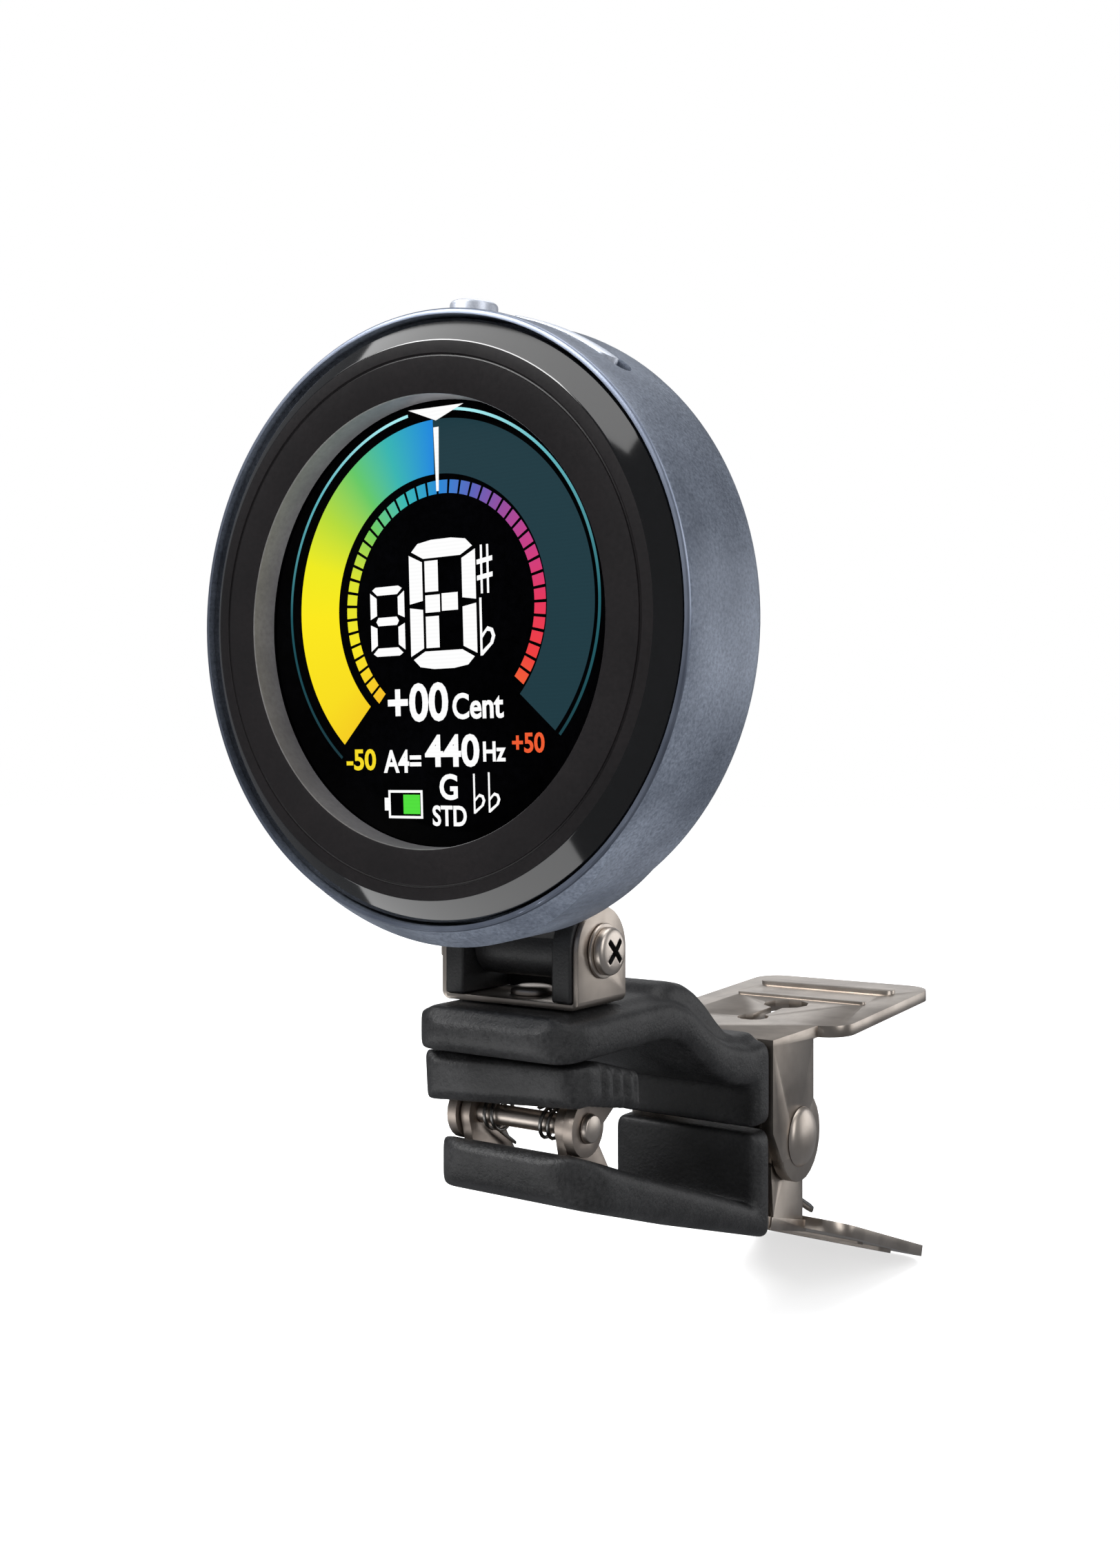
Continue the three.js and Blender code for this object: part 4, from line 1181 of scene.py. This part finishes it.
    def cover_screws(self) -> None:
        """Four countersunk screws with cross recesses."""
        screw = turned("cover_screw", [(0.6, 7.0), (0.65, 7.1), (0.65, 9.1), (1.5, 9.9),
                                       (1.5, 9.94), (1.3, 9.95)], 40)
        for turn in (45, 135):
            bar = drawn("bar", round_box(-0.95, -0.16, 0.95, 0.16, 0.15, 4), 9.45, 10.4,
                        Facing.FRONT)
            screw = combine(screw, settle(bar, Matrix.Rotation(math.radians(turn), 4, "Y")),
                            "DIFFERENCE")
        soften(screw, 0.03, 1)
        dress(screw, NICKEL_SCREW.make())
        for number, angle in enumerate(self.post_angles, start=1):
            copy = screw.copy()
            copy.data = screw.data.copy()
            copy.name = f"cover_screw_head_{number}"
            bpy.context.scene.collection.objects.link(copy)
            settle(copy, self.post_place(angle))
            hand_over(shift_to_head(copy), "head", Slot.SCREW, f"cover_screw_{number}")
        bpy.data.objects.remove(screw, do_unlink=True)

    def inside(self) -> None:
        """The pieces inside the case, which keep their frame shapes."""
        finish_node("display_panel", LAMINATE.make())
        finish_node("main_board", SOLDER_MASK.make())
        finish_node("battery", LAMINATE.make())
        finish_node("pickup_disc", BRASS.make())
        for node in ("charge_socket", "power_switch", "rocker_switch_left",
                     "rocker_switch_right", "foot_screw_left", "foot_screw_right"):
            finish_node(node, NICKEL_SCREW.make())

    def build(self) -> None:
        """Builds the whole head."""
        self.case()
        self.front_ring()
        self.glass()
        self.power_button()
        self.rocker()
        self.cover()
        self.cover_screws()
        refine("neck_foot", "tilt_foot", "head", Slot.PLASTIC, NYLON.make(), 0.15)
        self.inside()


# -------------------------------------------------------------------------- neck


@dataclass
class Neck:
    """The steel yoke, its liners and the screw that the head tilts on."""

    axis_y: float = 14.6
    axis_z: float = -25.5
    floor: float = -30.0
    sheet: float = 0.5
    ear_outer: float = 6.85
    ear_radius: float = 3.6
    liner_radius: float = 3.9

    def place(self) -> Matrix:
        """The move from the display's axes to the frame's."""
        return Matrix.Translation(HEAD_CENTRE)

    def arch(self, radius: float, base: float) -> list[Point]:
        """A side outline with a round top about the tilt axis and a flat base."""
        return [(self.axis_y + radius, base),
                *arc(self.axis_y, self.axis_z, radius, 0, 180, 40),
                (self.axis_y - radius, base)]

    def bore(self, radius: float) -> bpy.types.Object:
        """A cutter along the tilt axis."""
        cutter = turned("bore", [(radius, -10), (radius, 10)], 40, axis=Vector((1, 0, 0)))
        return settle(cutter, Matrix.Translation((0, self.axis_y * MM, self.axis_z * MM)))

    def yoke(self) -> None:
        """The U-shaped steel bracket, bent from one strip."""
        outer, low = self.ear_outer, self.floor
        inner, top = outer - self.sheet, low + self.sheet
        strip = [*arc(-outer + 0.7, low + 0.7, 0.7, 180, 270, 6),
                 *arc(outer - 0.7, low + 0.7, 0.7, 270, 360, 6), (outer, -20), (inner, -20),
                 *arc(inner - 0.2, top + 0.2, 0.2, 0, -90, 4),
                 *arc(-inner + 0.2, top + 0.2, 0.2, -90, -180, 4), (-inner, -20), (-outer, -20)]
        yoke = drawn("tilt_yoke", strip, self.axis_y - self.ear_radius,
                     self.axis_y + self.ear_radius, Facing.FRONT)
        side = drawn("side", self.arch(self.ear_radius, low - 1), -8, 8, Facing.SIDE)
        yoke = combine(yoke, side, "INTERSECT")
        yoke = combine(yoke, self.bore(1.1), "DIFFERENCE")
        rivet_bore = turned("bore", [(1.3, -31), (1.3, -29)], 40, axis=Vector((0, 0, 1)))
        rivet_bore = settle(rivet_bore, Matrix.Translation((0, self.axis_y * MM, 0)))
        yoke = combine(yoke, rivet_bore, "DIFFERENCE")
        yoke.name = "tilt_yoke"
        soften(yoke, 0.07, 2)
        settle(dress(yoke, NICKEL_STRIP.make()), self.place())
        hand_over(yoke, "neck", Slot.STEEL, "neck_bracket")

    def liners(self) -> None:
        """The two nylon cheeks between the yoke and the foot's barrel."""
        for side, name in ((-1, "left"), (1, "right")):
            low, high = sorted((side * 4.45, side * 6.3))
            liner = drawn(f"cheek_{name}", self.arch(self.liner_radius, self.floor + 0.55),
                          low, high, Facing.SIDE)
            liner = combine(liner, self.bore(1.1), "DIFFERENCE")
            soften(liner, 0.25, 3)
            settle(dress(liner, NYLON.make()), self.place())
            hand_over(liner, "neck", Slot.PLASTIC, f"liner_{name}")
        refine("liner_rear", "cheek_rear", "neck", Slot.PLASTIC, NYLON.make(), 0.15)

    def screw(self) -> None:
        """The pan-head screw: low head, wide cross recess, and a shank to the nut."""
        screw = turned("tilt_screw_pan", [(0.85, -8.1), (1.0, -7.95), (1.0, 7.2), (1.9, 7.2),
                                          (1.95, 7.26), (1.95, 7.7), (1.88, 7.84),
                                          (1.7, 7.97), (1.45, 8.04), (1.1, 8.08),
                                          (0.6, 8.11), (0.3, 8.12)], 64,
                        axis=Vector((1, 0, 0)))
        for turn in (45, 135):
            bar = drawn("bar", [(-1.25, -0.2), (-1.1, -0.26), (1.1, -0.26), (1.25, -0.2),
                                (1.25, 0.2), (1.1, 0.26), (-1.1, 0.26), (-1.25, 0.2)],
                        7.45, 9, Facing.SIDE)
            screw = combine(screw, settle(bar, Matrix.Rotation(math.radians(turn), 4, "X")),
                            "DIFFERENCE")
        screw.name = "tilt_screw_pan"
        soften(screw, 0.05, 2)
        dress(screw, NICKEL_SCREW.make())
        # Painted shade: the faces inside the cross recess take a near-black finish for the shade
        # there.
        paint(screw, RECESS_PAINTED_SHADE.make(),
              lambda middle, normal: 7.3 < middle.x < 7.99
              and math.hypot(middle.y, middle.z) < 1.35)
        settle(screw, Matrix.Translation((0, self.axis_y * MM, self.axis_z * MM)))
        settle(screw, self.place())
        hand_over(screw, "neck", Slot.SCREW, "tilt_screw")

    def washer(self) -> None:
        """The flat washer under the screw's head."""
        washer = turned("tilt_washer_disc", [(1.1, 6.88), (2.15, 6.88), (2.23, 6.92),
                                             (2.25, 6.98), (2.25, 7.08), (2.2, 7.15),
                                             (2.12, 7.17), (1.1, 7.17)], 64, ring=True,
                        axis=Vector((1, 0, 0)))
        soften(washer, 0, angle=40)
        settle(washer, Matrix.Translation((0, self.axis_y * MM, self.axis_z * MM)))
        settle(dress(washer, NICKEL_SCREW.make()), self.place())
        hand_over(washer, "neck", Slot.STEEL, "tilt_washer")

    def rivet(self) -> None:
        """The swivel rivet that holds the yoke to the clip and lets it turn."""
        rivet = turned("swivel_rivet_head", [(1.7, -33.2), (1.9, -33.1), (1.9, -32.8),
                                             (1.2, -32.8), (1.2, -29.43), (1.9, -29.43),
                                             (1.92, -29.25), (1.85, -29.05), (1.65, -28.9),
                                             (1.3, -28.8), (0.7, -28.75)], 64,
                       axis=Vector((0, 0, 1)))
        soften(rivet, 0, angle=40)
        settle(rivet, Matrix.Translation((0, self.axis_y * MM, 0)))
        settle(dress(rivet, NICKEL_STRIP.make()), self.place())
        hand_over(rivet, "upper_clip", Slot.STEEL, "swivel_rivet")

    def build(self) -> None:
        """Builds the whole neck."""
        self.yoke()
        self.liners()
        self.screw()
        self.washer()
        self.rivet()
        refine("tilt_nut", "tilt_nut_hex", "neck", Slot.STEEL, NICKEL_SCREW.make(), 0.12)
        finish_node("swivel_bush", NYLON.make())


# -------------------------------------------------------------------------- clip


@dataclass
class Clip:
    """The two spring-steel levers in their rubber sleeves, and the rocking pad."""

    axis_y: float = 50.0
    axis_z: float = -47.5
    moulding_grain: float = 0.17
    sleeve_passes: int = 70
    pad_passes: int = 26

    def levers(self) -> None:
        """The two nickel-plated levers with their beaded squeeze tabs."""
        refine("upper_lever", "upper_strip", "upper_clip", Slot.STEEL, NICKEL_STRIP.make(), 0.12)
        refine("lower_lever", "lower_strip", "lower_clip", Slot.STEEL, NICKEL_STRIP.make(), 0.12)

    def rubbers(self) -> None:
        """The moulded rubber pieces: both sleeves and the pad."""
        for node, name, body, passes in (
                ("upper_sleeve", "upper_jaw_rubber", "upper_clip", self.sleeve_passes),
                ("lower_sleeve", "lower_jaw_rubber", "lower_clip", self.sleeve_passes),
                ("grip_pad", "grip_pad_rubber", "pad", self.pad_passes)):
            piece = cast(node, name, self.moulding_grain, passes)
            hand_over(dress(piece, RUBBER.make()), body, Slot.RUBBER, node)

    def hinge(self) -> None:
        """The hinge pin with its two domed heads."""
        pin = turned("hinge_pin_domed", [(0.5, -9.0), (1.3, -8.92), (2.0, -8.76),
                                         (2.6, -8.5), (2.93, -8.25), (3.0, -8.05),
                                         (1.5, -8.05), (1.5, 8.05), (3.0, 8.05),
                                         (2.93, 8.25), (2.6, 8.5), (2.0, 8.76),
                                         (1.3, 8.92), (0.5, 9.0)], 64, axis=Vector((1, 0, 0)))
        soften(pin, 0, angle=40)
        settle(pin, Matrix.Translation((0, self.axis_y * MM, self.axis_z * MM)))
        settle(dress(pin, NICKEL_SCREW.make()), Matrix.Translation(HEAD_CENTRE))
        hand_over(pin, "upper_clip", Slot.SCREW, "hinge_pin")

    def springs(self) -> None:
        """The torsion coils, with their wire rounded."""
        for node, name, body in (("main_spring", "main_spring_wire", "upper_clip"),
                                 ("pad_spring", "pad_spring_wire", "pad")):
            piece = copy_of_node(node, name)
            activate(piece)
            rounder = piece.modifiers.new("round", "SUBSURF")
            rounder.levels = 1
            rounder.render_levels = 1
            bpy.ops.object.modifier_apply(modifier=rounder.name)
            bpy.ops.object.shade_smooth()
            hand_over(dress(piece, MUSIC_WIRE.make()), body, Slot.SPRING, node)

    def pad_metal(self) -> None:
        """The pad's bracket, its pin, and the bracket and rivets on the lower arm."""
        refine("pad_bracket", "pad_yoke", "pad", Slot.STEEL, PLAIN_STEEL.make(), 0.05)
        refine("arm_bracket", "arm_yoke", "lower_clip", Slot.STEEL, PLAIN_STEEL.make(), 0.05)
        refine("pad_pin", "pad_pin_peened", "pad", Slot.SCREW, NICKEL_SCREW.make(), 0.08)
        for side in ("left", "right"):
            refine(f"arm_rivet_{side}", f"arm_rivet_{side}_head", "lower_clip", Slot.STEEL,
                   NICKEL_SCREW.make(), 0.1)

    def build(self) -> None:
        """Builds the whole clip."""
        self.levers()
        self.rubbers()
        self.hinge()
        self.springs()
        self.pad_metal()


# ------------------------------------------------------------------------ studio


@dataclass
class Studio:
    """The pale floor, the soft lights and the camera."""

    eye: Vector = field(default_factory=lambda: Vector((0.0699, -0.1023, 0.0219)))
    heading: float = 34.2
    lens: float = 33.245

    def floor(self) -> None:
        """A wide pale floor just under the clip."""
        deselect_all()
        lowest = CAD_BOX[0][2]
        bpy.ops.mesh.primitive_plane_add(size=6, location=(0, 0, lowest - 0.0002))
        floor = bpy.context.object
        floor.name = "floor"
        material = blank("matt_white_paper")
        shader = add_node(material, "ShaderNodeBsdfPrincipled",
                          {"Base Color": linear("#f4f4f4"), "Roughness": 0.9,
                           "Specular IOR Level": 0.1, "Emission Strength": 0.62,
                           "Emission Color": (1.0, 1.0, 1.0, 1.0)}, {})
        show(material, shader)
        dress(floor, material)
        floor.visible_glossy = False

    def world(self) -> None:
        """Even pale surroundings, dimmer in reflections so that gloss black stays deep."""
        world = bpy.data.worlds.new("surroundings")
        bpy.context.scene.world = world
        world.use_nodes = True
        nodes = world.node_tree.nodes
        background = nodes["Background"]
        background.inputs["Strength"].default_value = 1.0
        path = nodes.new("ShaderNodeLightPath")
        shade = (0.5, 0.505, 0.52, 1.0)
        for ray, tint in (("Is Glossy Ray", (0.17, 0.175, 0.185, 1.0)),
                          ("Is Camera Ray", (1.0, 1.0, 1.0, 1.0))):
            mix = nodes.new("ShaderNodeMix")
            mix.data_type = "RGBA"
            if isinstance(shade, tuple):
                mix.inputs[6].default_value = shade
            else:
                world.node_tree.links.new(shade, mix.inputs[6])
            mix.inputs[7].default_value = tint
            world.node_tree.links.new(path.outputs[ray], mix.inputs[0])
            shade = mix.outputs[2]
        world.node_tree.links.new(shade, background.inputs["Color"])

    def softbox(self, name: str, place: Vector, aim: Vector, size: Point, power: float) -> None:
        """A rectangular soft light aimed at a point.

        Args:
            name: The light's name.
            place: Where it stands, in metres.
            aim: The point that it faces.
            size: Its width and height.
            power: Its power in watts.
        """
        deselect_all()
        bpy.ops.object.light_add(type="AREA", location=place)
        light = bpy.context.object
        light.name = name
        light.rotation_euler = (aim - place).to_track_quat("-Z", "Y").to_euler()
        light.data.shape = "RECTANGLE"
        light.data.size, light.data.size_y = size
        light.data.energy = power
        light.visible_camera = False

    def lights(self) -> None:
        """A high front-left box, two bars that draw the ring's bevel, and boxes round the rest."""
        middle = Vector((0, 0, 0.02))
        self.softbox("key", Vector((-0.26, -0.42, 0.46)), middle, (0.42, 0.22), 3.6)
        self.softbox("ring_bar", Vector((-0.13, -0.28, 0.43)), Vector((0.0, -0.018, 0.034)),
                     (0.72, 0.14), 0.75)
        self.softbox("low_bar", Vector((-0.0185, -0.0388, -0.017)),
                     Vector((-0.0085, -0.015, 0.013)), (0.066, 0.02), 0.008)
        self.softbox("right_strip", Vector((0.5, -0.1, 0.25)), middle, (0.2, 0.5), 0.9)
        self.softbox("right_rear", Vector((0.34, 0.48, 0.06)), middle, (0.4, 0.3), 0.55)
        self.softbox("rear", Vector((-0.32, 0.5, 0.14)), middle, (0.5, 0.2), 0.28)
        self.softbox("top", Vector((0.05, 0.15, 0.6)), middle, (0.5, 0.5), 1.8)

    def camera(self) -> None:
        """The camera at the object's viewing angle."""
        deselect_all()
        turn = (math.radians(90), 0, math.radians(self.heading))
        bpy.ops.object.camera_add(location=self.eye, rotation=turn)
        camera = bpy.context.object
        camera.data.lens = self.lens
        camera.data.sensor_width = 36
        camera.data.sensor_fit = "AUTO"
        camera.data.clip_start = 0.005
        bpy.context.scene.camera = camera

    def build(self) -> None:
        """Builds the studio."""
        self.floor()
        self.world()
        self.lights()
        self.camera()
        bpy.context.scene.view_settings.view_transform = "Standard"


def main() -> None:
    """Builds every sub-assembly."""
    logging.basicConfig(level=logging.INFO, format="%(message)s")
    for assembly in (Head(), Display(), Neck(), Clip(), Studio()):
        assembly.build()
        log.info("%s done", type(assembly).__name__)


if __name__ == "__main__":
    main()
